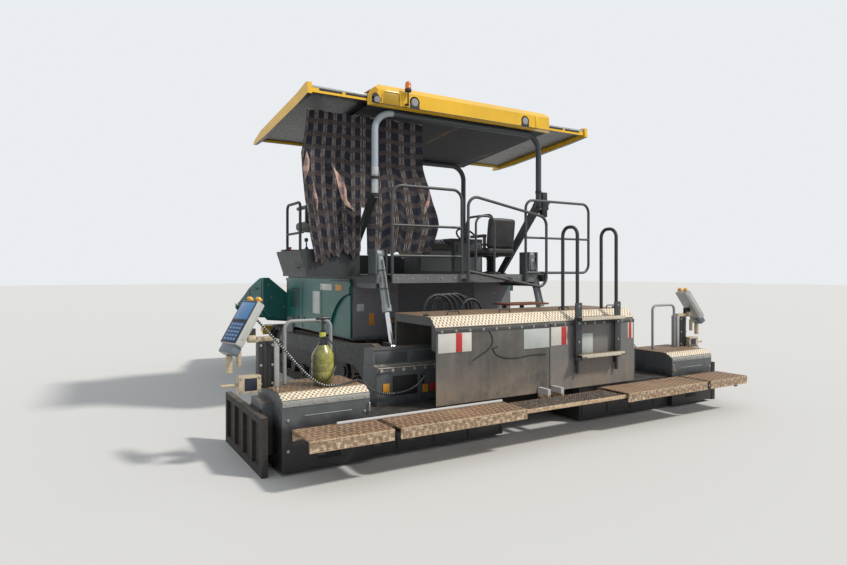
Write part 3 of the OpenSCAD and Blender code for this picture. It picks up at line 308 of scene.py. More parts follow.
def plain(name, colour, rough=0.4, metal=0.0, grain=60.0, depth=0.0006, vary=0.25, coat=0.0):
    """A finish with fine grain and a little dirt, for small pieces."""
    n = Nodes(name)
    fine = n.noise(grain, 5.0, 0.7)
    tone = n.mix(n.ramp(fine, 0.35, 0.75, 0.0, vary), colour, tuple(c * 0.4 for c in colour))
    n.bump(fine, 0.2, depth)
    return n.set(tone, n.ramp(fine, 0.3, 0.8, rough * 0.8, min(1.0, rough * 1.3)), metal, coat)


def plaid(name="checked_cloth", light=False):
    """Checked cloth: dark squares, broken pairs of cream threads down and brown threads across; light gives a
    bright copy of it, painted sunlight.
    """
    n = Nodes(name)
    u, v = n.xyz(n.uv)[0], n.xyz(n.uv)[1]
    # one repeat of the check, in metres of the cloth
    step = 0.15

    def lines(value, spots, width):
        part = n.math("FRACT", n.math("DIVIDE", value, step))
        masks = [between(n, part, a, a + width, 0.012) for a in spots]
        return reduce(lambda a, b: n.math("MAXIMUM", a, b), masks)

    across = n.math("FRACT", n.math("DIVIDE", v, step))
    down = n.math("FRACT", n.math("DIVIDE", u, step))
    row, column = between(n, across, 0.0, 0.6, 0.03), between(n, down, 0.0, 0.54, 0.02)
    threads = n.noise(420.0, 2.0, 0.6)
    broken = n.ramp(n.noise(38.0, 3.0, 0.6), 0.36, 0.6, 0.25, 1.0)
    # the cloth's colours are kept dark, partly as painted shade for the shade the curtain hangs in
    low, high = (0.019, 0.017, 0.025), (0.003, 0.005, 0.016)
    brown, cream = (0.15, 0.1, 0.072), (0.34, 0.29, 0.25)
    if light:
        # the light copy: the same check in bright peach tones, painted sunlight
        low, high = (0.5, 0.34, 0.27), (0.3, 0.2, 0.2)
        brown, cream = (0.68, 0.44, 0.32), (0.8, 0.62, 0.5)
    tone = n.mix(n.times(row, column), low, high)
    tone = n.mix(n.times(lines(v, (0.65, 0.75, 0.85, 0.94), 0.035), n.times(broken, 0.8)), tone, brown)
    pairs = n.times(lines(u, (0.585, 0.68, 0.81, 0.905), 0.045), broken)
    tone = n.mix(n.times(pairs, n.ramp(row, 0.0, 1.0, 0.22, 1.0)), tone, cream)
    n.bump(threads, 0.35, 0.0008)
    n.shader.inputs["Sheen Weight"].default_value = 0.1
    return n.set(tone, 0.85)


def give(node, material):
    """Give one CAD node its finish."""
    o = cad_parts[node]
    o.data.materials.clear()
    o.data.materials.append(material)


# Shaping


def deselect():
    if bpy.context.mode != "OBJECT":
        bpy.ops.object.mode_set(mode="OBJECT")
    bpy.ops.object.select_all(action="DESELECT")


def alone(o):
    deselect()
    o.select_set(True)
    bpy.context.view_layer.objects.active = o
    return o


def settle(o, name, material, body, crease=0.6):
    """Bake a piece's place into its mesh, name it, finish it and let it ride."""
    alone(o)
    bake()
    bpy.ops.object.shade_smooth_by_angle(angle=crease)
    o.name = name
    o.data.materials.clear()
    o.data.materials.append(material)
    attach(o, body)
    return o


def added():
    return bpy.context.view_layer.objects.active


def joined(objects):
    deselect()
    for o in objects:
        o.select_set(True)
    bpy.context.view_layer.objects.active = objects[0]
    if len(objects) > 1:
        bpy.ops.object.join()
    return objects[0]


def bake():
    """Move the selected piece's place, turn and size into its mesh."""
    bpy.ops.object.transform_apply(location=True, rotation=True, scale=True)


def edit(select):
    bpy.ops.object.mode_set(mode="EDIT")
    bpy.ops.mesh.select_all(action=select)


def leave():
    bpy.ops.object.mode_set(mode="OBJECT")


def modified(o, kind, **values):
    """Give the active piece a modifier and apply it."""
    m = o.modifiers.new(kind, kind)
    for name, value in values.items():
        setattr(m, name, value)
    bpy.ops.object.modifier_apply(modifier=m.name)
    return o


def laid(o, a, b):
    """Turn an upright round piece so that it runs from a to b."""
    o.rotation_euler = (b - a).to_track_quat("Z", "Y").to_euler()
    o.location = (a + b) / 2
    bake()
    return o


def block(x1, x2, y1, y2, z1, z2, bevel=0.0, steps=2):
    """A plain bar between two corners, with its edges rounded."""
    (x1, x2), (y1, y2), (z1, z2) = sorted((x1, x2)), sorted((y1, y2)), sorted((z1, z2))
    deselect()
    bpy.ops.mesh.primitive_cube_add(size=1.0)
    o = added()
    o.scale = (x2 - x1, y2 - y1, z2 - z1)
    o.location = at((x1 + x2) / 2, (y1 + y2) / 2, (z1 + z2) / 2)
    bake()
    if bevel:
        edit("SELECT")
        bpy.ops.mesh.bevel(offset=bevel, segments=steps, affect="EDGES")
        leave()
    return o


def rounded(o, width, segments=2, angle=0.6):
    """Round the sharp edges of a piece."""
    return modified(alone(o), "BEVEL", width=width, segments=segments, limit_method="ANGLE", angle_limit=angle)


def drum(a, b, radius, sides=24, bevel=0.0, end=None):
    """A round bar between two places, with another radius at its far end if one is given."""
    a, b = Vector(a), Vector(b)
    deselect()
    length = (b - a).length
    if end is None:
        bpy.ops.mesh.primitive_cylinder_add(vertices=sides, radius=radius, depth=length)
    else:
        bpy.ops.mesh.primitive_cone_add(vertices=sides, radius1=radius, radius2=end, depth=length)
    o = laid(added(), a, b)
    return rounded(o, bevel) if bevel else o


def turned(rings, foot, toward=UP, sides=32):
    """A round piece from rings of (height, radius), pulled up one after the other as on a lathe."""
    deselect()
    low, first = rings[0]
    bpy.ops.mesh.primitive_circle_add(vertices=sides, radius=first, fill_type="NGON")
    o = added()
    edit("SELECT")
    last = (low, first)
    for height, radius in rings[1:]:
        bpy.ops.mesh.extrude_region_move(TRANSFORM_OT_translate={"value": (0, 0, height - last[0])})
        k = radius / last[1]
        bpy.ops.transform.resize(value=(k, k, 1.0), center_override=(0, 0, height - low))
        last = (height, radius)
    bpy.ops.mesh.select_all(action="SELECT")
    bpy.ops.mesh.normals_make_consistent(inside=False)
    leave()
    turn = Vector(toward).normalized().to_track_quat("Z", "Y")
    o.rotation_euler = turn.to_euler()
    o.location = Vector(foot) + turn @ Vector((0, 0, low))
    bake()
    return o


def bent(points, radius, steps=5):
    """The same line with every corner rounded."""
    points = [Vector(p) for p in points]
    out = [points[0]]
    for a, p, b in zip(points, points[1:], points[2:]):
        start, end = p + (a - p).normalized() * radius, p + (b - p).normalized() * radius
        for k in range(steps + 1):
            t = k / steps
            out.append((1 - t) ** 2 * start + 2 * t * (1 - t) * p + t * t * end)
    return out + [points[-1]]


def tube(points, radius, roundness=3, soft=False):
    """A pipe through places, or a hose where it is soft."""
    deselect()
    bpy.ops.curve.primitive_bezier_curve_add()
    o = added()
    o.location = (0, 0, 0)
    line = o.data
    line.splines.clear()
    spline = line.splines.new("BEZIER" if soft else "POLY")
    knots = spline.bezier_points if soft else spline.points
    knots.add(len(points) - 1)
    for knot, p in zip(knots, points):
        if soft:
            knot.co = p
            knot.handle_left_type = knot.handle_right_type = "AUTO"
        else:
            knot.co = (*p, 1.0)
    line.dimensions = "3D"
    line.bevel_depth = radius
    line.bevel_resolution = roundness
    line.resolution_u = 6
    line.use_fill_caps = True
    alone(o)
    bpy.ops.object.convert(target="MESH")
    return added()


def folded(profile, y1, y2, thick):
    """A bent plate: the first fold is a plane, and each next one is pulled from its edge."""
    y1, y2 = sorted((y1, y2))
    (xa, za), (xb, zb) = profile[0], profile[1]
    deselect()
    bpy.ops.mesh.primitive_plane_add(size=1.0)
    o = added()
    o.scale = (math.hypot(xb - xa, zb - za), y2 - y1, 1.0)
    o.rotation_euler = (0, -math.atan2(zb - za, xb - xa), 0)
    o.location = at((xa + xb) / 2, (y1 + y2) / 2, (za + zb) / 2)
    bake()
    for (x0, z0), (x, z) in zip(profile[1:], profile[2:]):
        edge = at(x0, 0, z0)
        edit("DESELECT")
        bpy.ops.mesh.select_mode(type="VERT")
        leave()
        for v in o.data.vertices:
            v.select = abs(v.co.x - edge.x) < 1e-4 and abs(v.co.z - edge.z) < 1e-4
        bpy.ops.object.mode_set(mode="EDIT")
        bpy.ops.mesh.select_mode(type="EDGE")
        bpy.ops.mesh.extrude_region_move(TRANSFORM_OT_translate={"value": (x - x0, 0, z - z0)})
        leave()
    modified(o, "SOLIDIFY", thickness=thick, offset=-1.0)
    return rounded(o, thick * 0.3, 2, 0.3)


def band(a, b, radius, thick, sides=36):
    """A hollow ring round a tube, from an open cylinder given a wall."""
    a, b = Vector(a), Vector(b)
    deselect()
    bpy.ops.mesh.primitive_cylinder_add(vertices=sides, radius=radius, depth=(b - a).length,
                                        end_fill_type="NOTHING")
    return modified(laid(added(), a, b), "SOLIDIFY", thickness=thick, offset=1.0)


def scattered(o, places, toward=None):
    """Copies of a small piece, each with its own mesh, turned to face one way."""
    turn = Vector(toward).to_track_quat("Z", "Y") if toward else Quaternion()
    out = []
    for p in places:
        c = o.copy()
        c.data = o.data.copy()
        bpy.context.collection.objects.link(c)
        c.rotation_mode = "QUATERNION"
        c.rotation_quaternion = turn
        c.location = p
        out.append(c)
    bpy.data.objects.remove(o)
    return out


def hexes(places, toward, size=0.012):
    """Hexagon bolt heads on their washers."""
    head = drum((0, 0, 0), (0, 0, size * 0.75), size, 6, size * 0.14)
    washer = drum((0, 0, -0.001), (0, 0, size * 0.18), size * 1.45, 14)
    return scattered(joined([head, washer]), places, toward)


def merged(objects, name, material, body):
    return settle(joined(objects), name, material, body)


def set_down(objects, place, turn=(0, 0, 0)):
    """Join pieces built about the origin, turn them and put them in place."""
    o = joined(objects)
    o.rotation_euler = turn
    o.location = place
    bake()
    return o


def loose(x1, x2, y1, y2, z1, z2, bevel=0.0, steps=2):
    """A bar about the origin, to be set down later."""
    return block(x1 + MIDDLE, x2 + MIDDLE, y1, y2, z1, z2, bevel, steps)


def puffed(x1, x2, y1, y2, z1, z2, swell, bevel=0.035):
    """An upholstered block: rounded, cut up finely and swollen in the middle of its faces."""
    o = alone(loose(x1, x2, y1, y2, z1, z2, bevel, 3))
    edit("SELECT")
    bpy.ops.mesh.subdivide(number_cuts=5)
    leave()
    low, high = Vector((x1, min(y1, y2), z1)), Vector((x2, max(y1, y2), z2))
    mid, half = (low + high) / 2, (high - low) / 2
    for v in o.data.vertices:
        r = [(v.co[k] - mid[k]) / half[k] for k in range(3)]
        for k in range(3):
            a, b = (k + 1) % 3, (k + 2) % 3
            if abs(r[k]) > 0.85:
                v.co[k] += math.copysign(swell * max(0.0, 1 - r[a] ** 2) * max(0.0, 1 - r[b] ** 2), r[k])
                v.co[k] -= math.copysign(0.004 * abs(math.sin(r[b] * 7.0)) * max(0.0, 1 - abs(r[a])), r[k])
    return modified(o, "SUBSURF", levels=1)


# Sizes and colours


class PaverColours(bpy.types.PropertyGroup):
    body: bpy.props.FloatVectorProperty(
        name="Body green", description="Paint of the tractor body", subtype="COLOR", size=3,
        min=0, max=1, default=(0.006, 0.125, 0.11))
    roof: bpy.props.FloatVectorProperty(
        name="Roof yellow", description="Colour of the canopy shell", subtype="COLOR", size=3,
        min=0, max=1, default=(0.86, 0.5, 0.012))
    steel: bpy.props.FloatVectorProperty(
        name="Steelwork grey", description="Paint of the frames and covers", subtype="COLOR", size=3,
        min=0, max=1, default=(0.115, 0.13, 0.14))


class PaverSizes(bpy.types.PropertyGroup):
    fold_depth: bpy.props.FloatProperty(
        name="Curtain folds", description="Depth of the folds in the cloth", default=0.035,
        min=0.0, max=0.06, unit="LENGTH")
    floor_size: bpy.props.FloatProperty(
        name="Floor size", description="Width of the floor under the machine", default=160.0,
        min=20.0, max=400.0, unit="LENGTH")


# Operators


class PAVER_OT_stage(bpy.types.Operator):
    """Put up the pale floor, the lamps and the camera"""

    bl_idname = "paver.stage"
    bl_label = "Stage, lamps and camera"

    def execute(self, context):
        deselect()
        size = context.scene.paver_sizes.floor_size
        bpy.ops.mesh.primitive_plane_add(size=size, location=(0, 0, -0.001))
        floor = added()
        floor.name = "floor"
        floor.data.materials.append(Nodes("floor_pale").set((0.62, 0.62, 0.61), 0.85))
        world = bpy.data.worlds.new("sky")
        context.scene.world = world
        world.use_nodes = True
        nodes, link = world.node_tree.nodes, world.node_tree.links.new
        nodes.clear()
        which, ray = nodes.new("ShaderNodeMixShader"), nodes.new("ShaderNodeLightPath")
        # the sky as a light, then the sky as the camera, gloss and glass see it
        for i, (colour, strength) in enumerate((((0.93, 0.96, 1.0, 1), 0.62), ((0.86, 0.89, 0.92, 1), 0.95))):
            back = nodes.new("ShaderNodeBackground")
            back.inputs[0].default_value, back.inputs[1].default_value = colour, strength
            link(back.outputs[0], which.inputs[i + 1])
        seen = ray.outputs["Is Camera Ray"]
        for kind in ("Is Glossy Ray", "Is Transmission Ray"):
            both = nodes.new("ShaderNodeMath")
            both.operation = "MAXIMUM"
            link(seen, both.inputs[0])
            link(ray.outputs[kind], both.inputs[1])
            seen = both.outputs[0]
        link(seen, which.inputs[0])
        link(which.outputs[0], nodes.new("ShaderNodeOutputWorld").inputs[0])
        deselect()
        bpy.ops.object.light_add(type="SUN", location=(0, 0, 12))
        sun = added()
        sun.name = "sun"
        sun.data.energy = 2.6
        sun.data.angle = math.radians(6)
        sun.data.color = (1.0, 0.955, 0.88)
        sun.rotation_euler = Vector((-0.62, -0.62, 0.95)).to_track_quat("Z", "Y").to_euler()
        deselect()
        bpy.ops.object.camera_add(location=at(CAMERA_STATION, CAMERA_SIDE, CAMERA_HEIGHT))
        cam = added()
        cam.name = "camera"
        yaw = math.radians(CAMERA_YAW)
        look = Vector((math.cos(yaw), -math.sin(yaw), 0.0))
        cam.rotation_euler = look.to_track_quat("-Z", "Y").to_euler()
        cam.data.lens = FOCAL_LENGTH / PHOTO_WIDTH * cam.data.sensor_width
        cam.data.shift_y = HORIZON_SHIFT / PHOTO_WIDTH
        cam.data.clip_end = 400.0
        context.scene.camera = cam
        context.scene.view_settings.view_transform = "Standard"
        return {"FINISHED"}


class PAVER_OT_finishes(bpy.types.Operator):
    """Paint, rust and dirt for the solids of the frame"""

    bl_idname = "paver.finishes"
    bl_label = "Finishes of the main pieces"

    def execute(self, context):
        c = context.scene.paver_colours
        body, roof, steel = tuple(c.body), tuple(c.roof), tuple(c.steel)
        dark = paint("dark_paint", (0.028, 0.03, 0.033), rough=0.5)
        grey = paint("grey_paint", steel, rough=0.45)
        green = paint("green_paint", body, rough=0.35, coat=0.12, grime=0.3, dust=0.3)
        shell = paint("roof_shell", roof, rough=0.3, coat=0.3, grime=0.08, mud=0.0, dust=0.1, streak=0.1)
        black = paint("asphalt_crust", (0.02, 0.019, 0.018), rough=0.75, grime=0.2, depth=0.006)
        pale = paint("pale_paint", (0.33, 0.36, 0.38), rough=0.4, grime=0.3, mud=0.1)
        rubber = paint("track_rubber", (0.035, 0.033, 0.031), rough=0.8, dust=0.8, mud=0.6)
        plates = tread_plate("worn_tread")
        rod = paint("polished_rod", (0.75, 0.75, 0.76), metal=1.0, rough=0.16, grime=0.1, mud=0.0)
        steel_bare = paint("bare_steel", (0.4, 0.38, 0.36), metal=0.9, rough=0.4)
        slats = paint("conveyor_steel", (0.13, 0.12, 0.11), metal=0.4, rough=0.6, dust=0.1)
        dark_tube = paint("rail_paint", (0.06, 0.065, 0.07), rough=0.4, grime=0.3)
        rust = chipped("rust_board", (0.2, 0.075, 0.035), (0.05, 0.03, 0.02), 0.6, 0.75)
        cover = stained("stained_sheet")
        n = Nodes("post_paint")
        tone, gloss, _ = worn(n, (0.045, 0.055, 0.065), mud=0.0, grime=0.25)
        x, y, z = n.xyz()
        light = all_of(n, n.ramp(y, 1.0, 1.02), n.ramp(z, 2.65, 2.66),
                       n.ramp(x, 2.05 - MIDDLE, 2.06 - MIDDLE, 1.0, 0.0))
        tone = n.mix(light, tone, (0.36, 0.42, 0.47))
        tone = n.mix(n.ramp(z, 2.5, 2.56, 0.75, 0.0), tone, (0.012, 0.013, 0.014))
        posts = n.set(tone, gloss)
        n = Nodes("extension_paint")
        tone, gloss, small = worn(n, steel, mud=0.4)
        _, y, z = n.xyz()
        cloud = n.times(n.noise(5.0, 6.0, 0.7), 0.16)
        tone = n.mix(n.ramp(n.math("SUBTRACT", z, cloud), 0.27, 0.4, 0.93, 0.0), tone, (0.014, 0.013, 0.013))
        hoop = all_of(n, n.ramp(z, 0.668, 0.672), n.ramp(n.math("ABSOLUTE", y), 1.95, 1.96))
        tone = n.mix(hoop, tone, (0.3, 0.31, 0.315))
        n.bump(small, 0.3, 0.002)
        boxes = n.set(tone, gloss)
        n = Nodes("hopper_paint")
        tone, _, small = worn(n, body, rough=0.38, grime=0.3)
        face = n.facing()
        inward = n.math("MAXIMUM", n.ramp(n.times(face[1], n.xyz()[1]), -0.3, -0.15, 1.0, 0.0),
                        n.ramp(face[2], 0.25, 0.4))
        crust = n.mix(n.ramp(n.noise(3.0, 7.0, 0.75), 0.35, 0.65), (0.035, 0.033, 0.032), (0.12, 0.105, 0.09))
        tone = n.mix(n.times(inward, n.ramp(n.noise(4.5, 7.0, 0.75), 0.3, 0.42, 0.6, 1.0)), tone, crust)
        n.bump(small, 0.4, 0.003)
        hopper = n.set(tone, n.ramp(small, 0.3, 0.8, 0.5, 0.8))
        n = Nodes("platform_paint_shaded")
        # the deck's dark grey is deepened to near black, partly as painted shade for the shade the deck lies in;
        # its rear rim stays paler
        tone, gloss, small = worn(n, (0.036, 0.04, 0.044), rough=0.45, mud=0.0)
        x, _, z = n.xyz()
        rim = all_of(n, n.ramp(x, 1.87 - MIDDLE, 1.88 - MIDDLE, 1.0, 0.0), n.ramp(z, 1.63, 1.64, 1.0, 0.0))
        tone = n.mix(n.times(rim, n.ramp(n.noise(5.0, 5.0, 0.7), 0.3, 0.7, 0.9, 0.5)), tone, (0.19, 0.2, 0.2))
        n.bump(small, 0.25, 0.0015)
        deck_with_painted_shade = n.set(tone, gloss)
        n = Nodes("wing_shell")
        tone, gloss, _ = worn(n, roof, mud=0.0, dust=0.1, grime=0.08, streak=0.1, rough=0.3)
        under = n.ramp(n.facing()[2], -0.6, -0.4, 1.0, 0.0)
        lining = n.mix(n.ramp(n.noise(6.0, 5.0, 0.7), 0.35, 0.7), (0.022, 0.024, 0.03), (0.035, 0.034, 0.036))
        wings = n.set(n.mix(under, tone, lining), gloss)
        n = Nodes("frame_paint_lit_rear")
        tone, gloss, small = worn(n, steel, rough=0.45)
        x, y, z = n.xyz()
        # the rear face of the wall behind the tracks is painted paler: painted light where light falls on that
        # face
        rear = all_of(n, n.ramp(n.facing()[0], -0.9, -0.8, 1.0, 0.0),
                      n.ramp(x, 2.6 - MIDDLE, 2.61 - MIDDLE, 1.0, 0.0),
                      n.ramp(n.math("ABSOLUTE", y), 0.6, 0.61), n.ramp(z, 0.82, 0.86))
        tone = n.mix(n.times(rear, n.ramp(n.noise(2.4, 6.0, 0.7), 0.3, 0.7, 0.95, 0.6)), tone,
                     (0.25, 0.245, 0.27))
        n.bump(small, 0.25, 0.0015)
        frame_grey_lit_rear = n.set(tone, gloss)
        n = Nodes("lining_cloth")
        cloud, streak = n.noise(5.0, 5.0, 0.7), n.noise(2.2, 4.0, 0.6, stretch=(0.35, 2.2, 1.0))
        tone = n.mix(n.ramp(cloud, 0.35, 0.7), (0.018, 0.02, 0.028), (0.034, 0.034, 0.04))
        # the amber-brown streaks on the dark lining are a painted reflection: golden light mirrored on its curved
        # underside
        tone = n.mix(n.ramp(streak, 0.58, 0.72, 0.0, 0.75), tone, (0.22, 0.13, 0.055))
        n.bump(n.noise(160.0, 3.0, 0.6), 0.3, 0.001)
        lining = n.set(tone, 0.8)
        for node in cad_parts:
            give(node, dark)
        for node, m in {
            "chassis_frame": frame_grey_lit_rear, "side_panels": green, "engine_cover": green, "platform": deck_with_painted_shade,
            "guard_hoops": dark_tube, "rear_loops": dark_tube, "side_rails": dark, "lift_brackets": grey,
            "auger_hanger": black, "rear_shelf": rust, "canopy_posts": posts, "canopy_roof": shell,
            "canopy_lining": lining, "canopy_wing_left": wings, "canopy_wing_right": wings,
            "track_left": rubber, "track_right": rubber,
            "hopper_wing_left": hopper, "hopper_wing_right": hopper, "push_beam": shell,
            "push_roller_left": steel_bare, "push_roller_right": steel_bare, "conveyors": slats,
            "lift_barrel_left": pale, "lift_barrel_right": pale, "lift_rod_left": rod, "lift_rod_right": rod,
            "auger_left": black, "auger_right": black, "screed_base": black, "screed_covers": cover,
            "middle_walkway": plates, "extension_left": boxes, "extension_right": boxes,
            "walkway_left": plates, "walkway_right": plates, "end_gate_left": black, "end_gate_right": black,
        }.items():
            give(node, m)
        return {"FINISHED"}


class PAVER_OT_cable(bpy.types.Operator):
    """Beaded cable from the left control panel to the step box"""

    bl_idname = "paver.cable"
    bl_label = "Panel cable"

    def execute(self, context):
        route = [(x / 1000 - MIDDLE, y / 1000, z / 1000) for x, y, z in CABLE_ROUTE]
        path = []
        for i in range(len(route) - 1):
            a, b, c, d = (Vector(route[k]) for k in (max(i - 1, 0), i, i + 1, min(i + 2, len(route) - 1)))
            for t in (0.0, 1 / 3, 2 / 3):
                path.append(0.5 * (2 * b + (c - a) * t + (2 * a - 5 * b + 4 * c - d) * t * t
                                   + (3 * b - a - 3 * c + d) * t ** 3))
        path.append(Vector(route[-1]))
        fine = []
        for a, b in zip(path, path[1:]):
            steps = max(1, round((b - a).length / 0.0055))
            fine += [a.lerp(b, k / steps) for k in range(steps)]
        fine.append(path[-1])
        line = tube(fine, 0.0128, 2)
        rows = len(fine)
        per = len(line.data.vertices) // rows
        for i, v in enumerate(line.data.vertices):
            row = min(i // per, rows - 1)
            centre = fine[row]
            v.co = centre + (v.co - centre) * (1.0 if row % 4 in (0, 1) else 0.62)
        # the raised rows are pale grey: painted highlights standing for the glints on each ring of the cable
        bead_highlights = [f.index for f in line.data.polygons if len(f.vertices) == 4 and min(f.vertices) // per % 4 == 0]
        cable = settle(line, "cable_tube", plain("cable_rubber", (0.022, 0.022, 0.023), 0.35, coat=0.3),
                       "extension_left_body", 1.2)
        cable.data.materials.append(plain("cable_bead_highlights", (0.42, 0.42, 0.41), 0.25, 0.5))
        for f in bead_highlights:
            cable.data.polygons[f].material_index = 1
        out = (path[1] - path[0]).normalized()
        relief = turned([(0.0, 0.021), (0.006, 0.022), (0.01, 0.018), (0.045, 0.0136), (0.047, 0.0134)],
                        path[0] + out * 0.0005, out, 16)
        settle(relief, "cable_relief", plain("relief_rubber", (0.03, 0.03, 0.03), 0.6), "extension_left_body")
        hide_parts("panel_cable")
        return {"FINISHED"}


class PAVER_OT_curtain(bpy.types.Operator):
    """Checked cloth tied under the left side of the roof"""

    bl_idname = "paver.curtain"
    bl_label = "Curtain"

    def execute(self, context):
        depth = context.scene.paver_sizes.fold_depth
        columns, rows, slit, top, foot = 96, 84, (40, 43), 3.512, 1.85
        deselect()
        bpy.ops.mesh.primitive_grid_add(x_subdivisions=columns, y_subdivisions=rows, size=1.0)
        cloth = added()
        data = cloth.data
        uv = data.uv_layers[0].data

        def along(value, table):
            for (a, p), (b, q) in zip(table, table[1:]):
                if value >= b:
                    return q + (p - q) * (value - b) / (a - b)
            return table[-1][1]

        def bulge(y, z, loose):
            x = 2.250 + depth * 0.45 * loose * math.sin(y * 21.0 + 1.3 * math.sin(z * 2.6) + 0.8)
            x += depth * 0.25 * loose * math.sin(y * 47.0 + z * 3.0)
            ridge = (y - 1.63) - (z - 2.72) * 0.42
            x -= 0.03 * loose * math.exp(-((ridge / 0.05) ** 2)) * math.exp(-(((z - 2.65) / 0.42) ** 2))
            ridge = (y - 1.97) - (z - 2.9) * 0.1
            return x - 0.02 * loose * math.exp(-((ridge / 0.03) ** 2))

        # the sides, as rows of z and y from the top down
        left_edge = [(3.6, 1.94), (3.3, 1.97), (3.0, 2.02), (2.46, 1.98), (1.8, 1.86)]
        right_edge = [(3.6, 0.44), (2.95, 0.43), (2.6, 0.28), (2.25, 0.19), (1.8, 0.34)]
        flat = {}
        for v in data.vertices:
            i, j = round((v.co.x + 0.5) * columns), round((v.co.y + 0.5) * rows)
            drop = 1.0 - j / rows
            hem = foot + 0.035 * math.sin(i * 0.33) + 0.02 * math.sin(i * 0.9 + 1.0) - (0.06 if i > 78 else 0.0)
            z = top - drop * (top - hem)
            r, l = along(z, right_edge), along(z, left_edge)
            if i <= slit[0]:
                y = r + (1.205 - r) * i / slit[0]
            elif i < slit[1]:
                y = 1.205 + 0.07 * (i - slit[0]) / (slit[1] - slit[0])
            else:
                y = 1.275 + (l - 1.275) * (i - slit[1]) / (columns - slit[1])
            x = bulge(y, z, min(1.0, drop * 2.2))
            sag = 0.012 * abs(math.sin(i * math.pi / 12.0)) * (1.0 - drop) ** 6
            flat[v.index] = (i / columns * 1.62, drop * 1.68)
            v.co = at(x, y, z - sag)
        for loop in data.loops:
            uv[loop.index].uv = flat[loop.vertex_index]
        edit("DESELECT")
        bpy.ops.mesh.select_mode(type="FACE")
        leave()
        for f in data.polygons:
            f.select = abs(f.center.y - 1.24) < 0.036 and f.center.z < 2.42
        bpy.ops.object.mode_set(mode="EDIT")
        bpy.ops.mesh.delete(type="FACE")
        bpy.ops.mesh.select_all(action="SELECT")
        bpy.ops.mesh.normals_make_consistent(inside=False)
        leave()
        settle(cloth, "curtain_cloth", plaid(), "chassis", 3.0)
        ties = []
        for y in (0.46, 0.8, 1.14, 1.34, 1.64, 1.92):
            ties.append(tube(bent([at(2.246, y - 0.03, 3.515), at(2.240, y, 3.49), at(2.246, y + 0.03, 3.515)],
                                  0.012), 0.004, 1))
        knots = merged(ties, "curtain_ties", plain("tie_cord", (0.4, 0.33, 0.26), 0.9), "chassis")
        # bright flaps along the folds: painted sunlight on the cloth
        sunlit_flaps = []
        for fold in FOLDS:
            deselect()
            bpy.ops.mesh.primitive_grid_add(x_subdivisions=4, y_subdivisions=24, size=1.0)
            flap = added()
            spots = {}
            for v in flap.data.vertices:
                i, t = round((v.co.x + 0.5) * 4), v.co.y + 0.5
                k = min(int(t * (len(fold) - 1)), len(fold) - 2)
                f = t * (len(fold) - 1) - k
                y, z, w = (fold[k][c] * (1 - f) + fold[k + 1][c] * f for c in range(3))
                y += w * (i / 4 - 0.5)
                spots[v.index] = (y, z)
                v.co = at(bulge(y, z, 1.0) - 0.007 - 0.012 * math.sin(math.pi * i / 4), y, z)
            for loop in flap.data.loops:
                flap.data.uv_layers[0].data[loop.index].uv = spots[loop.vertex_index]
            sunlit_flaps.append(flap)
        painted_sunlight_flaps = merged(sunlit_flaps, "curtain_sunlit_flaps", plaid("cloth_painted_sunlight", True), "chassis")
        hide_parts("curtain")
        return {"FINISHED"}


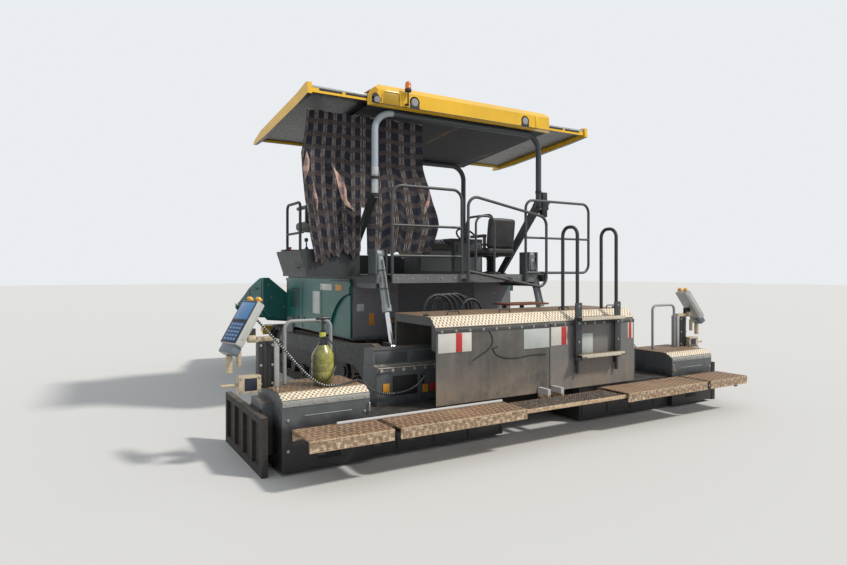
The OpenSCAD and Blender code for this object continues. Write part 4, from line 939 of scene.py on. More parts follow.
class PAVER_OT_covers(bpy.types.Operator):
    """Treads, plates, angle strips and marks on the covers of the main screed"""

    bl_idname = "paver.covers"
    bl_label = "Screed covers"

    def execute(self, context):
        cream = step_tread("cover_tread", 0.6)
        plates = []
        for y1, y2 in ((-1.352, -0.058), (-0.052, 1.352)):
            plates.append(folded([(0.459, 1.132), (0.548, 1.2265), (1.262, 1.2265)], y1, y2, 0.006))
        merged(plates, "cover_treads", cream, "screed")
        strips, bolts = [], []
        for y1, y2 in ((-1.35, -0.062), (-0.048, 1.35)):
            strips.append(folded([(0.444, 1.076), (0.444, 1.108), (0.459, 1.108)], y1, y2, 0.004))
            bolts += [at(0.4435, y1 + 0.06 + i * (y2 - y1 - 0.12) / 8, 1.092) for i in range(9)]
        merged(strips, "cover_strips", paint("strip_steel", (0.06, 0.062, 0.065), rough=0.5), "screed")
        steel = plain("worn_bolt", (0.42, 0.39, 0.36), 0.4, 0.8)
        merged(hexes(bolts, REARWARD, 0.0095), "cover_bolts", steel, "screed")
        white = chipped("white_plate", (0.66, 0.64, 0.6), (0.2, 0.13, 0.09), 0.6, 0.35)
        red = chipped("red_bar", (0.52, 0.03, 0.025), (0.35, 0.3, 0.28), 0.64, 0.3)
        pale = chipped("pale_plate", (0.5, 0.54, 0.52), (0.25, 0.22, 0.19), 0.66, 0.4)
        # the plates lie on the covers' rear face, and the bars on the plates
        plate, bar = (0.4465, 0.4495), (0.4445, 0.4475)
        merged([block(*plate, 0.95, 1.33, 0.89, 1.072, 0.001),
                block(*plate, -0.3, -0.07, 0.875, 1.07, 0.001),
                block(*plate, -1.33, -1.24, 0.89, 1.07, 0.001)], "white_plates", white, "screed")
        merged([block(*bar, 1.06, 1.13, 0.892, 1.07, 0.0008),
                block(*bar, -0.285, -0.215, 0.878, 1.068, 0.0008),
                block(*bar, -1.3, -1.26, 0.892, 1.068, 0.0008)], "red_bars", red, "screed")
        merged([block(*plate, -0.045, 0.3, 0.865, 1.065, 0.001),
                block(0.4455, 0.4495, -0.68, -0.49, 0.76, 0.98, 0.001)],
               "pale_plates", pale, "screed")
        tar = plain("tar", (0.012, 0.011, 0.01), 0.25, coat=0.5)
        runs = [tube([at(0.4475, y, z) for y, z in line], 0.006, 2, True) for line in (
            [(0.74, 1.075), (0.705, 1.02), (0.7, 0.95), (0.74, 0.9), (0.84, 0.845), (0.93, 0.8)],
            [(0.70, 0.9), (0.66, 0.845), (0.56, 0.8), (0.41, 0.785), (0.2, 0.8), (0.0, 0.795)],
            [(0.69, 0.9), (0.63, 0.915)])]
        merged(runs, "tar_runs", tar, "screed")
        grips = []
        for y in (1.02, 0.38, -0.45, -1.2):
            grips.append(tube(bent([at(0.66, y - 0.07, 1.2295), at(0.66, y - 0.07, 1.262),
                                    at(0.66, y + 0.07, 1.262), at(0.66, y + 0.07, 1.2295)], 0.02), 0.007))
        for y in (1.31, -1.31):
            grips.append(drum(at(0.7, y, 1.229), at(0.7, y, 1.245), 0.03, 20, 0.003))
        merged(grips, "cover_grips", plain("grip_steel", (0.08, 0.08, 0.085), 0.4, 0.6), "screed")
        hinges = []
        for y in (-1.0, -0.4, 0.4, 1.0):
            hinges.append(drum(at(1.27, y - 0.05, 1.214), at(1.27, y + 0.05, 1.214), 0.009, 12, 0.001))
            hinges.append(block(1.262, 1.266, y - 0.045, y + 0.045, 1.15, 1.212, 0.001))
        merged(hinges, "cover_hinges", steel, "screed")
        return {"FINISHED"}


class PAVER_OT_walkways(bpy.types.Operator):
    """Lips, gratings, brackets and rivets of the walkways"""

    bl_idname = "paver.walkways"
    bl_label = "Walkways"

    def execute(self, context):
        lip_paint = chipped("lip_paint", (0.56, 0.42, 0.27), (0.24, 0.13, 0.07), 0.52, 0.7)
        dark = plain("bracket_steel", (0.035, 0.034, 0.034), 0.6)
        for side, s in SIDES:
            body = "extension_%s_body" % side
            teeth, feet = [], []
            for a, b in ((0.68, 1.99), (2.05, 2.76)):
                teeth.append(block(-0.054, -0.0505, s * a, s * b, 0.388, 0.3998, 0.001))
                teeth.append(block(-0.0535, -0.0505, s * a, s * b, 0.31, 0.314, 0.001))
                for y in (a + 0.12, b - 0.12):
                    feet.append(folded([(0.30, 0.30), (0.02, 0.30), (0.02, 0.27)],
                                       s * (y - 0.03), s * (y + 0.03), 0.006))
            merged(teeth, "lip_%s" % side, lip_paint, body)
            merged(feet, "walkway_feet_%s" % side, dark, body)
        grate = chipped("grate_steel", (0.30, 0.28, 0.25), (0.05, 0.035, 0.025), 0.45, 0.5)
        stud = turned([(0.0, 0.0125), (0.004, 0.0115), (0.0045, 0.0085), (0.002, 0.0075), (0.0, 0.0072)],
                      (0, 0, 0), UP, 10)
        spots = [at(0.012 + i * 0.0335, y * 0.034, 0.3768) for i in range(9) for y in range(-19, 20)]
        merged(scattered(stud, spots), "middle_studs", grate, "screed")
        merged([block(-0.014, -0.0105, -0.8, 0.8, 0.345, 0.384, 0.001)], "middle_lip", lip_paint, "screed")
        return {"FINISHED"}


class PAVER_OT_end_boxes(bpy.types.Operator):
    """Treads, strips and small plates of the extensions and their end boxes"""

    bl_idname = "paver.end_boxes"
    bl_label = "End boxes"

    def execute(self, context):
        cream = step_tread("end_tread", 0.56)
        ledge = chipped("ledge_paint", (0.5, 0.46, 0.38), (0.1, 0.08, 0.06), 0.52, 0.5)
        strip = chipped("strip_paint", (0.34, 0.35, 0.34), (0.1, 0.09, 0.08), 0.58, 0.5)
        slate = paint("slate_panel", (0.075, 0.085, 0.09), rough=0.45, dust=0.2)
        black = plain("recess_black", (0.008, 0.008, 0.008), 0.7)
        amber = chipped("amber_plate", (0.72, 0.33, 0.03), (0.3, 0.2, 0.1), 0.66, 0.4)
        red = chipped("red_plate", (0.5, 0.035, 0.03), (0.2, 0.1, 0.08), 0.68, 0.4)
        steel = plain("pale_bolt", (0.5, 0.47, 0.43), 0.4, 0.7)
        # the small plates and the recesses lie between these stations, just behind the guide boxes
        plate, recess = (0.793, 0.799), (0.7935, 0.7985)
        for side, s in SIDES:
            body = "extension_%s_body" % side
            merged([folded([(0.4585, 0.6125), (0.5385, 0.6565), (1.1, 0.6565)], s * 2.032, s * 2.808, 0.006)],
                   "end_tread_%s" % side, cream, body)
            merged([folded([(0.4445, 0.556), (0.4445, 0.597), (0.452, 0.603)], s * 2.034, s * 2.806, 0.004),
                    block(0.446, 0.4495, s * 2.2, s * 2.62, 0.47, 0.478, 0.001)],
                   "end_strip_%s" % side, strip, body)
            merged(hexes([at(0.444, s * (2.07 + i * 0.1166), 0.578) for i in range(7)]
                         + [at(0.4445, s * y, z) for y in (2.08, 2.76) for z in (0.2, 0.45)],
                         REARWARD, 0.0085), "end_bolts_%s" % side, steel, body)
            merged([folded([(0.7795, 0.735), (0.7795, 0.7385), (0.902, 0.7545)], s * 1.0, s * 1.78, 0.004)],
                   "mid_ledge_%s" % side, ledge, body)
            merged(hexes([at(0.7785, s * (1.03 + i * 0.12), 0.716) for i in range(7)], REARWARD, 0.012),
                   "mid_bolts_%s" % side, steel, body)
            merged([folded([(0.8955, 0.89), (0.8955, 0.905), (1.09, 0.905)], s * 1.004, s * 1.776, 0.005)],
                   "top_ledge_%s" % side, slate, body)
            merged([block(0.894, 0.8995, s * y1, s * y2, 0.775, 0.868, 0.002)
                    for y1, y2 in ((1.03, 1.37), (1.41, 1.75))]
                   + [block(0.794, 0.7995, s * 1.02, s * 1.2, 0.40, 0.68, 0.002)],
                   "guide_panels_%s" % side, slate, body)
            merged([block(*recess, s * 1.35, s * 1.62, 0.47, 0.655, 0.003),
                    block(*recess, s * 1.27, s * 1.31, 0.56, 0.66, 0.003),
                    block(0.4455, 0.449, s * 2.3, s * 2.5, 0.1, 0.17, 0.001)],
                   "recesses_%s" % side, black, body)
            merged([block(*plate, s * 1.655, s * 1.725, 0.50, 0.59, 0.001),
                    block(*plate, s * 1.23, s * 1.29, 0.47, 0.545, 0.001)],
                   "amber_plates_%s" % side, amber, body)
            merged([block(*plate, s * 1.14, s * 1.205, 0.475, 0.555, 0.001)], "red_plates_%s" % side, red, body)
            ribs = [block(0.4965, 0.4995, s * y, s * (y + 0.014), 0.06, 0.36, 0.001)
                    for y in (0.56, 0.95, 1.34, 1.73)]
            merged(ribs, "extension_ribs_%s" % side, black, body)
            hooks = [tube(bent([at(0.47, s * 2.04, 0.52), at(0.43, s * 2.04, 0.52), at(0.43, s * 2.04, 0.44),
                                at(0.448, s * 2.04, 0.44)], 0.015), 0.006)]
            hooks.append(tube(bent([at(0.62, s * 2.79, 0.6565), at(0.62, s * 2.79, 0.69),
                                    at(0.74, s * 2.79, 0.69), at(0.74, s * 2.79, 0.6565)], 0.02), 0.007))
            merged(hooks, "end_grips_%s" % side, steel, body)
        return {"FINISHED"}


class PAVER_OT_ladder(bpy.types.Operator):
    """Treads and flat side bars of the ladder"""

    bl_idname = "paver.ladder"
    bl_label = "Ladder"

    def execute(self, context):
        steel = chipped("ladder_paint", (0.035, 0.04, 0.045), (0.2, 0.17, 0.14), 0.66, 0.45)
        cream = step_tread("ladder_tread", 0.36, (0.62, 0.56, 0.46))
        bars, treads = [], []
        for y in (-0.42, -1.02):
            bars.append(block(0.392, 0.412, y - 0.045, y + 0.045, 0.70, 1.32, 0.004))
            bars.append(folded([(0.30, 0.745), (0.395, 0.745), (0.395, 0.80)], y - 0.03, y + 0.03, 0.006))
        for z in (0.7625, 1.1625):
            treads.append(folded([(0.3175, z - 0.03), (0.3175, z + 0.0045), (0.43, z + 0.0045)],
                                 -1.047, -0.393, 0.004))
        merged(bars, "ladder_bars", steel, "screed")
        merged(treads, "ladder_treads", cream, "screed")
        nuts = [at(0.3915, y, z) for y in (-0.42, -1.02) for z in (0.73, 0.9, 1.1, 1.28)]
        merged(hexes(nuts, REARWARD, 0.009), "ladder_bolts", plain("ladder_bolt", (0.4, 0.38, 0.35), 0.4, 0.8),
               "screed")
        return {"FINISHED"}


class PAVER_OT_control_posts(bpy.types.Operator):
    """Posts, brackets, sensors and tilted panels at both ends of the screed"""

    bl_idname = "paver.control_posts"
    bl_label = "Control posts"

    def execute(self, context):
        black = paint("post_black", (0.02, 0.021, 0.023), rough=0.45, dust=0.3)
        flank = chipped("post_side", (0.42, 0.42, 0.42), (0.1, 0.08, 0.07), 0.62, 0.45)
        cream = chipped("bracket_cream", (0.55, 0.46, 0.32), (0.14, 0.09, 0.06), 0.55, 0.5)
        casing = chipped("panel_casing", (0.5, 0.51, 0.49), (0.2, 0.19, 0.17), 0.66, 0.4)
        rim = plain("panel_rim", (0.012, 0.016, 0.03), 0.4)
        blue = plain("panel_display", (0.035, 0.19, 0.46), 0.12, vary=0.1, coat=0.6)
        keys = plain("panel_keys", (0.012, 0.05, 0.15), 0.4, vary=0.1)
        caps = plain("panel_caps", (0.16, 0.3, 0.48), 0.35, vary=0.15)
        smoke = plain("lower_cover", (0.13, 0.17, 0.2), 0.25, vary=0.3, coat=0.3)
        knob = plain("panel_knob", (0.86, 0.42, 0.02), 0.25, vary=0.2, coat=0.5)
        steel = plain("post_bolt", (0.45, 0.42, 0.38), 0.4, 0.8)
        for side, s in SIDES:
            body, o, t = "extension_%s_body" % side, 2.81, 0.65
            column = [block(0.861, 0.969, s * (o - 0.06), s * (o + 0.07), t + 0.0003, t + 0.405, 0.006)]
            column += [block(0.854, 0.862, s * (o - y), s * (o - y - 0.016), t + 0.02, t + 0.39, 0.003)
                       for y in (0.045, 0.005, -0.035)]
            column.append(block(0.885, 0.925, s * (o + 0.09), s * (o + 0.19), t + 0.43, t + 0.515, 0.005))
            columns = merged(column, "post_column_%s" % side, black, body)
            merged([block(0.866, 0.96, s * (o - 0.11), s * (o - 0.058), t + 0.0003, t + 0.415, 0.005)],
                   "post_side_%s" % side, flank, body)
            # the box below the arm: its depth along the machine and its width across
            box, width = (0.82, 0.9), (s * (o + 0.065), s * (o + 0.25))
            arms = [block(0.88, 0.95, s * (o - 0.07), s * (o + 0.15), t + 0.395, t + 0.44, 0.006),
                    drum(at(0.872, s * (o + 0.1), t + 0.43), at(0.872, s * (o + 0.165), t + 0.43),
                         0.032, 18, 0.003),
                    block(0.81, 0.822, *width, t - 0.02, t + 0.125, 0.002),
                    block(*box, *width, t + 0.113, t + 0.125, 0.002),
                    block(*box, *width, t - 0.02, t - 0.008, 0.002),
                    block(*box, s * (o + 0.065), s * (o + 0.09), t - 0.01, t + 0.115, 0.002),
                    block(*box, s * (o + 0.238), s * (o + 0.25), t - 0.01, t + 0.115, 0.002),
                    drum(at(0.855, s * (o + 0.245), t + 0.05), at(0.855, s * (o + 0.39), t + 0.05),
                         0.014, 14, 0.003)]
            for x, dy, r, h, rod in ((0.88, 0.315, 0.028, 0.15, 0.05), (0.905, 0.23, 0.022, 0.2, 0.085)):
                y, z = s * (o + dy), t + h
                arms.append(turned([(0.0, r * 0.8), (0.008, r), (0.05, r), (0.052, r * 0.9), (0.058, r * 0.9),
                                    (0.06, r), (0.14, r), (0.15, r * 0.85), (0.152, 0.009),
                                    (0.14 + rod, 0.009)],
                                   at(x, y, z), UP, 20))
            merged(arms, "post_brackets_%s" % side, cream, body)
            merged([block(0.8085, 0.811, s * (o + 0.1), s * (o + 0.205), t + 0.0, t + 0.105, 0.001)],
                   "bracket_recess_%s" % side, rim, body)
            tilt, spot = (s * math.radians(33), 0, s * math.radians(20)), at(0.9, s * (o + 0.2), t + 0.565)

            def panel(pieces, name, material):
                return settle(set_down(pieces, spot, tilt), name + "_" + side, material, body)

            panel([loose(-0.115, 0.115, s * -0.045, s * 0.036, -0.21, 0.205, 0.012, 3),
                   loose(-0.119, -0.114, s * -0.02, s * 0.012, -0.15, 0.15, 0.002)], "panel_casing", casing)
            panel([loose(-0.108, 0.108, s * 0.034, s * 0.0395, -0.202, 0.198, 0.003),
                   loose(-0.1, 0.1, s * 0.038, s * 0.043, 0.0, 0.008, 0.002)], "panel_rim", rim)
            panel([loose(-0.094, 0.094, s * 0.0385, s * 0.0412, 0.018, 0.182, 0.002)], "panel_display", blue)
            panel([loose(-0.094, 0.094, s * 0.0385, s * 0.0412, -0.19, -0.01, 0.002)], "panel_keys", keys)
            small = [loose(-0.08 + i * 0.042, -0.05 + i * 0.042, s * 0.041, s * 0.044,
                           -0.18 + j * 0.034, -0.16 + j * 0.034, 0.002) for i in range(4) for j in range(5)]
            panel(small, "panel_caps", caps)
            panel([loose(-0.093, 0.093, s * -0.058, s * 0.028, -0.288, -0.202, 0.014, 3)], "lower_cover", smoke)
            panel([turned([(0.0, 0.012), (0.012, 0.012), (0.014, 0.026), (0.024, 0.031), (0.036, 0.028),
                           (0.044, 0.016), (0.046, 0.004)], (x, s * 0.01, 0.2035), UP, 20)
                   for x in (-0.07, 0.055)],
                  "panel_knobs", knob)
            merged(hexes([at(0.8535, s * (o + y), t + z) for y in (-0.045, 0.055) for z in (0.04, 0.2, 0.37)]
                         + [at(0.8085, s * (o + y), t + z) for y in (0.08, 0.235) for z in (0.0, 0.105)],
                         REARWARD, 0.008), "post_bolts_%s" % side, steel, body)
            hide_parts("control_post_" + side)
        return {"FINISHED"}


class PAVER_OT_sprayer(bpy.types.Operator):
    """Sprayer bottle with its neck, handle and hose"""

    bl_idname = "paver.sprayer"
    bl_label = "Sprayer"

    def execute(self, context):
        n = Nodes("sprayer_plastic")
        _, y, z = n.xyz()
        cloud = n.noise(9.0, 7.0, 0.75)
        fine = n.noise(60.0, 5.0, 0.7)
        # the outer side is darkened as painted shade, and the bottle is darker towards the foot too
        shaded_outer_side = n.ramp(n.math("ADD", y, n.times(cloud, 0.2)), 2.4, 2.56)
        low = n.ramp(n.math("ADD", z, n.times(cloud, 0.25)), 0.76, 0.98, 1.0, 0.0)
        # the dark mix below is painted shade on the outer side, with darker towards the foot
        dirt = n.math("MAXIMUM", n.times(shaded_outer_side, 0.85), n.times(low, 0.85))
        tone = n.mix(n.ramp(cloud, 0.4, 0.62), (0.56, 0.5, 0.07), (0.3, 0.31, 0.09))
        tone = n.mix(n.ramp(n.noise(24.0, 7.0, 0.8), 0.5, 0.66, 0.0, 0.75), tone, (0.14, 0.1, 0.035))
        tone = n.mix(n.ramp(fine, 0.5, 0.75, 0.0, 0.5), tone, (0.09, 0.09, 0.03))
        tone = n.mix(dirt, tone, (0.04, 0.045, 0.018))
        n.set(tone, 0.3, coat=0.4)
        foot, body = at(0.715, 2.36, 0.6503), "extension_left_body"
        bottle = turned([(0.0, 0.05), (0.004, 0.058), (0.03, 0.077), (0.068, 0.092), (0.076, 0.097),
                         (0.13, 0.0985), (0.135, 0.0965), (0.14, 0.0985), (0.2, 0.0985), (0.205, 0.0965),
                         (0.21, 0.0985), (0.262, 0.0975), (0.28, 0.0935), (0.31, 0.078), (0.34, 0.058),
                         (0.36, 0.045)], foot, UP, 48)
        bottle = settle(bottle, "sprayer_bottle", n.material, body)
        black = plain("sprayer_black", (0.018, 0.018, 0.02), 0.35, coat=0.2)
        ring = turned([(0.43, 0.0245), (0.432, 0.0275), (0.468, 0.0275), (0.47, 0.0245)], foot, UP, 24)
        settle(ring, "sprayer_ring", plain("sprayer_ring", (0.6, 0.62, 0.08), 0.35), body)
        neck = [turned([(0.355, 0.04), (0.375, 0.04), (0.38, 0.03), (0.4, 0.025), (0.488, 0.024),
                        (0.492, 0.013), (0.585, 0.0115)], foot, UP, 24),
                block(0.697, 0.733, 2.295, 2.425, 1.2303, 1.2563, 0.011, 3),
                drum(at(0.69, 2.36, 1.075), at(0.655, 2.36, 1.085), 0.01, 12, 0.002)]
        points = []
        # the hose leaves the neck, stands off the right side and curls in under the foot
        for k in range(26):
            t = k / 25
            around = 4.15 - 1.5 * max(0.0, t - 0.62) / 0.38
            height = 0.435 - 0.42 * t
            r = 0.03 + 0.085 * math.sin(min(1.0, t / 0.35) * math.pi / 2) - 0.01 * max(0.0, t - 0.6)
            points.append(foot + Vector((r * math.cos(around), r * math.sin(around), height)))
        neck.append(tube(points, 0.0065, 2, True))
        merged(neck, "sprayer_fittings", black, body)
        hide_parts("sprayer")
        return {"FINISHED"}


class PAVER_OT_canopy(bpy.types.Operator):
    """Lamps, beacon, rims and fittings of the roof and its posts"""

    bl_idname = "paver.canopy"
    bl_label = "Canopy"

    def execute(self, context):
        yellow = tuple(context.scene.paver_colours.roof)
        black = plain("rim_black", (0.014, 0.014, 0.015), 0.5)
        glass = plain("lamp_glass", (0.3, 0.3, 0.31), 0.08, grain=120.0, depth=0.002, coat=1.0)
        silver = paint("silver_strip", (0.52, 0.54, 0.55), metal=0.6, rough=0.35, mud=0.0, grime=0.3)
        shells, lenses, holes = [], [], []
        for y in (-0.87, 0.8):
            spot = at(1.8317, y, 3.63)
            shells.append(turned([(0.0, 0.046), (0.016, 0.05), (0.02, 0.053), (0.03, 0.053), (0.034, 0.049)],
                                 spot, REARWARD, 40))
            lenses.append(turned([(0.0338, 0.046), (0.036, 0.046), (0.038, 0.03), (0.039, 0.008)],
                                 spot, REARWARD, 40))
            holes.append(turned([(0.0002, 0.0655), (0.03, 0.0657), (0.0302, 0.0635), (0.002, 0.062)],
                                spot, REARWARD, 40))
        lamps = merged(shells, "lamp_shells", black, "chassis")
        merged(lenses, "lamp_lenses", glass, "chassis")
        merged(holes, "lamp_recesses", black, "chassis")
        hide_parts("work_lamps")
        foot = at(1.754, 0.915, 3.555)
        stem = [drum(foot, foot + Vector((0, 0, 0.172)), 0.009, 16),
                block(1.76, 1.7997, 0.895, 0.935, 3.575, 3.591, 0.003),
                turned([(0.165, 0.02), (0.17, 0.039), (0.198, 0.04), (0.2, 0.036)], foot, UP, 32)]
        stem = merged(stem, "beacon_stem", black, "chassis")
        n = Nodes("beacon_lens")
        ribs = n.math("SINE", n.times(n.xyz()[2], 900.0))
        n.bump(ribs, 0.35, 0.002)
        n.shader.inputs["Transmission Weight"].default_value = 0.25
        n.set(n.mix(n.ramp(n.noise(30.0, 4.0, 0.6), 0.3, 0.7), (0.9, 0.26, 0.01), (0.75, 0.14, 0.01)),
              0.15, coat=0.6)
        dome = turned([(0.199, 0.035), (0.205, 0.036), (0.25, 0.0355), (0.268, 0.033), (0.28, 0.027),
                       (0.289, 0.016), (0.2915, 0.004)], foot, UP, 40)
        settle(dome, "beacon_dome", n.material, "chassis")
        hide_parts("beacon")
        shell = paint("trim_yellow", yellow, rough=0.3, coat=0.3, mud=0.0, grime=0.12)
        trims = [block(1.794, 1.8, -1.09, -1.04, 3.56, 3.715, 0.004)]
        trims.append(tube(bent([at(1.799, 1.225, 3.565), at(1.799, 1.225, 3.705), at(1.799, 0.985, 3.705),
                                at(1.799, 0.985, 3.6)], 0.05), 0.0085))
        trims.append(block(1.792, 1.8, 0.985, 1.0, 3.575, 3.69, 0.004))
        merged(trims, "rim_trims", shell, "chassis")
        # a darker yellow plate in the scoop on the rim: painted shade in the hollow
        hollow = plain("scoop_painted_shade", tuple(c * 0.5 for c in yellow), 0.4, grain=20.0)
        merged([block(1.7978, 1.7999, 0.99, 1.22, 3.562, 3.7, 0.001)], "rim_scoop_shade", hollow, "chassis")
        # black arches lie thinly on the roof's rear rim
        skin = (1.7982, 1.7999)
        corner = [block(*skin, 1.262, 1.356, 3.5515, 3.62, 0.0008)]
        corner.append(drum(*(at(x, 1.309, 3.62) for x in skin), 0.047, 32))
        corner.append(turned([(-0.02, 0.036), (0.0, 0.038), (0.016, 0.042), (0.02, 0.042), (0.024, 0.038)],
                             at(1.797, 1.29, 3.588), (-0.9, 0.4, 0), 32))
        corner += [block(*skin, y - 0.066, y + 0.066, 3.5515, 3.6, 0.0008) for y in (-0.87, 0.8)]
        merged(corner, "lamp_arches", black, "chassis")
        settle(turned([(0.0238, 0.036), (0.027, 0.034), (0.029, 0.006)],
                      at(1.797, 1.29, 3.588), (-0.9, 0.4, 0), 32), "corner_lens", glass, "chassis")
        edge = [block(1.7955, 1.8, -1.36, 1.36, 3.5505, 3.5585, 0.002),
                block(4.0, 4.004, -1.36, 1.36, 3.376, 3.384, 0.002)]
        merged(edge, "rim_edges", black, "chassis")
        for side, s in SIDES:
            body = "roof_wing_" + side
            merged([block(1.8972, 1.9, s * 1.02, s * 2.025, 3.646, 3.668, 0.001),
                    block(1.8972, 1.9, s * 1.02, s * 2.025, 3.598, 3.604, 0.001)],
                   "wing_rail_" + side, silver, body)
            merged([block(1.8965, 1.899, s * y, s * (y + 0.27), 3.618, 3.645, 0.001)
                    for y in (1.05, 1.36, 1.67)], "wing_strip_" + side, black, body)
            merged(hexes([at(1.8972, s * (1.06 + i * 0.23), 3.657) for i in range(5)], REARWARD, 0.0065),
                   "wing_bolts_" + side, silver, body)
        merged([band(at(1.96, 1.24, 2.56), at(1.96, 1.24, 2.68), 0.0384, 0.003),
                band(at(1.96, 1.24, 2.77), at(1.96, 1.24, 2.86), 0.0384, 0.005),
                block(1.918, 1.93, 1.215, 1.265, 2.78, 2.85, 0.004)], "post_sleeves", silver, "chassis")
        clamps = [band(at(1.96, s * 1.24, z), at(1.96, s * 1.24, z + 0.035), 0.0384, 0.005) for s in (1, -1)
                  for z in (2.52, 2.72)]
        clamps += [block(1.925, 2.0, -1.375, -1.284, 2.4, 2.74, 0.012, 3),
                   block(1.94, 1.985, -1.41, -1.37, 2.5, 2.62, 0.008),
                   drum(at(1.96, -1.4, 2.56), at(1.96, -1.46, 2.62), 0.008, 12, 0.002)]
        merged(clamps, "post_clamps", black, "chassis")
        return {"FINISHED"}


class PAVER_OT_seats(bpy.types.Operator):
    """Upholstered seats on bellows posts"""

    bl_idname = "paver.seats"
    bl_label = "Seats"

    def execute(self, context):
        n = Nodes("seat_vinyl")
        grain = n.cells(420.0)
        wear = n.ramp(n.noise(9.0, 6.0, 0.7), 0.45, 0.75, 0.0, 0.6)
        n.bump(grain, 0.25, 0.0006)
        n.set(n.mix(wear, (0.02, 0.02, 0.022), (0.075, 0.068, 0.06)), 0.5)
        dark = plain("seat_frame", (0.025, 0.025, 0.027), 0.45)
        for side, spot in (("left", (2.7, 1.62, 1.9003)), ("right", (2.45, -0.8, 1.6203))):
            body, foot = "seat_%s_body" % side, at(*spot)
            rings = [(0.0, 0.13), (0.026, 0.13), (0.03, 0.124), (0.034, 0.08)]
            rings += [(0.05 + i * 0.012, 0.066 if i % 2 else 0.052) for i in range(14)]
            hard = [turned(rings + [(0.225, 0.06), (0.235, 0.11), (0.25, 0.12)], (0, 0, 0), UP, 32),
                    loose(-0.22, 0.235, -0.2, 0.2, 0.244, 0.262, 0.006)]
            for y in (-0.235, 0.235):
                hard.append(loose(-0.19, -0.145, y - 0.015, y + 0.015, 0.33, 0.51, 0.006))
                hard.append(loose(0.24, 0.262, y * 0.6 - 0.02, y * 0.6 + 0.02, 0.235, 0.26, 0.004))
            hard.append(drum((0.1, -0.21, 0.25), (0.1, -0.262, 0.262), 0.008, 12, 0.002))
            seat = settle(set_down(hard, foot), "seat_frame_" + side, dark, body)
            soft = [puffed(-0.24, 0.265, -0.226, 0.226, 0.258, 0.36, 0.012)]
            back = puffed(-0.042, 0.042, -0.215, 0.215, 0.0, 0.4, 0.01)
            soft.append(set_down([back], (-0.203, 0, 0.356), (0, math.radians(-7.0), 0)))
            for y in (-0.235, 0.235):
                soft.append(puffed(-0.2, 0.148, y - 0.0195, y + 0.0195, 0.5, 0.54, 0.003, 0.012))
            cushion = settle(set_down(soft, foot), "seat_cushions_" + side, n.material, body, 1.2)
            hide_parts("seat_" + side)
        return {"FINISHED"}


class PAVER_OT_consoles(bpy.types.Operator):
    """Boards, gauges, levers and doors of the consoles"""

    bl_idname = "paver.consoles"
    bl_label = "Consoles"

    def execute(self, context):
        black = plain("console_black", (0.02, 0.02, 0.022), 0.4)
        grey = paint("console_grey", (0.12, 0.13, 0.14), rough=0.45, mud=0.0)
        white = plain("gauge_white", (0.6, 0.6, 0.57), 0.3, coat=0.6)
        red = plain("knob_red", (0.5, 0.02, 0.015), 0.3, coat=0.4)
        # the desk's slope, and the top of the left console with a small gap
        rise, top = math.radians(-20.0), 1.9003
        foot = at(3.203, 0.0, 2.0625)
        board = [loose(0.004, 0.222, -0.625, -0.045, 0.0, 0.005, 0.002)]
        board += [turned([(0.005, 0.03), (0.012, 0.03), (0.014, 0.026)], (0.16, y, 0.0), UP, 24)
                  for y in (-0.56, -0.47, -0.38)]
        board += [drum((x, y, 0.004), (x, y, 0.013), 0.009, 12, 0.002) for x in (0.04, 0.075)
                  for y in (-0.56, -0.51, -0.46, -0.41, -0.36, -0.2, -0.15, -0.1)]
        settle(set_down(board, foot, (0, rise, 0)), "desk_board", black, "chassis")
        faces = [turned([(0.0125, 0.024), (0.0145, 0.023), (0.015, 0.004)], (0.16, y, 0.0), UP, 24)
                 for y in (-0.56, -0.47, -0.38)]
        faces.append(loose(0.12, 0.2, -0.3, -0.09, 0.004, 0.008, 0.002))
        settle(set_down(faces, foot, (0, rise, 0)), "desk_gauges", white, "chassis")
        sticks = []
        for x, y in ((3.28, -0.28), (3.28, -0.14), (2.46, 1.36), (2.46, 1.88)):
            z = 2.093 if x > 3 else top
            sticks.append(turned([(0.0, 0.034), (0.006, 0.034), (0.014, 0.024), (0.02, 0.027), (0.028, 0.018),
                                  (0.034, 0.02), (0.042, 0.009), (0.1, 0.007), (0.108, 0.018), (0.125, 0.024),
                                  (0.142, 0.02), (0.15, 0.006)], at(x, y, z), (0.1, 0, 1), 20))
        merged(sticks, "levers", black, "chassis")
        merged([turned([(0.0, 0.018), (0.012, 0.018), (0.014, 0.026), (0.026, 0.027), (0.032, 0.018)],
                       at(3.02, 1.9, 1.9303), UP, 24)], "stop_knob", red, "chassis")
        plates = [block(3.174, 3.1798, -1.16, -0.67, 1.66, 2.1, 0.004),
                  block(3.1445, 3.1498, -0.6, -0.07, 1.66, 1.96, 0.004),
                  block(2.98, 3.13, 1.29, 1.98, top, 1.93, 0.008),
                  block(2.32, 2.43, 1.29, 1.98, top, 1.914, 0.005),
                  block(2.32, 3.13, 1.262, 1.2715, 1.62, 1.9, 0.002)]
        plates += [drum(at(3.03 + i * 0.03, y, 1.929), at(3.03 + i * 0.03, y, 1.937), 0.01, 12, 0.002)
                   for i in range(3) for y in (1.35, 1.4, 1.45, 1.5, 1.55, 1.6)]
        merged(plates, "console_plates", grey, "chassis")
        grips = [tube(bent([at(3.175, y, 1.95), at(3.15, y, 1.95), at(3.15, y, 2.05), at(3.175, y, 2.05)],
                           0.012), 0.006, 2) for y in (-0.71, -1.12)]
        grips.append(tube(bent([at(2.35, 2.003, 1.7), at(2.35, 2.03, 1.7), at(2.55, 2.03, 1.7),
                                at(2.55, 2.003, 1.7)], 0.015), 0.007, 2))
        merged(grips, "console_grips", black, "chassis")
        return {"FINISHED"}


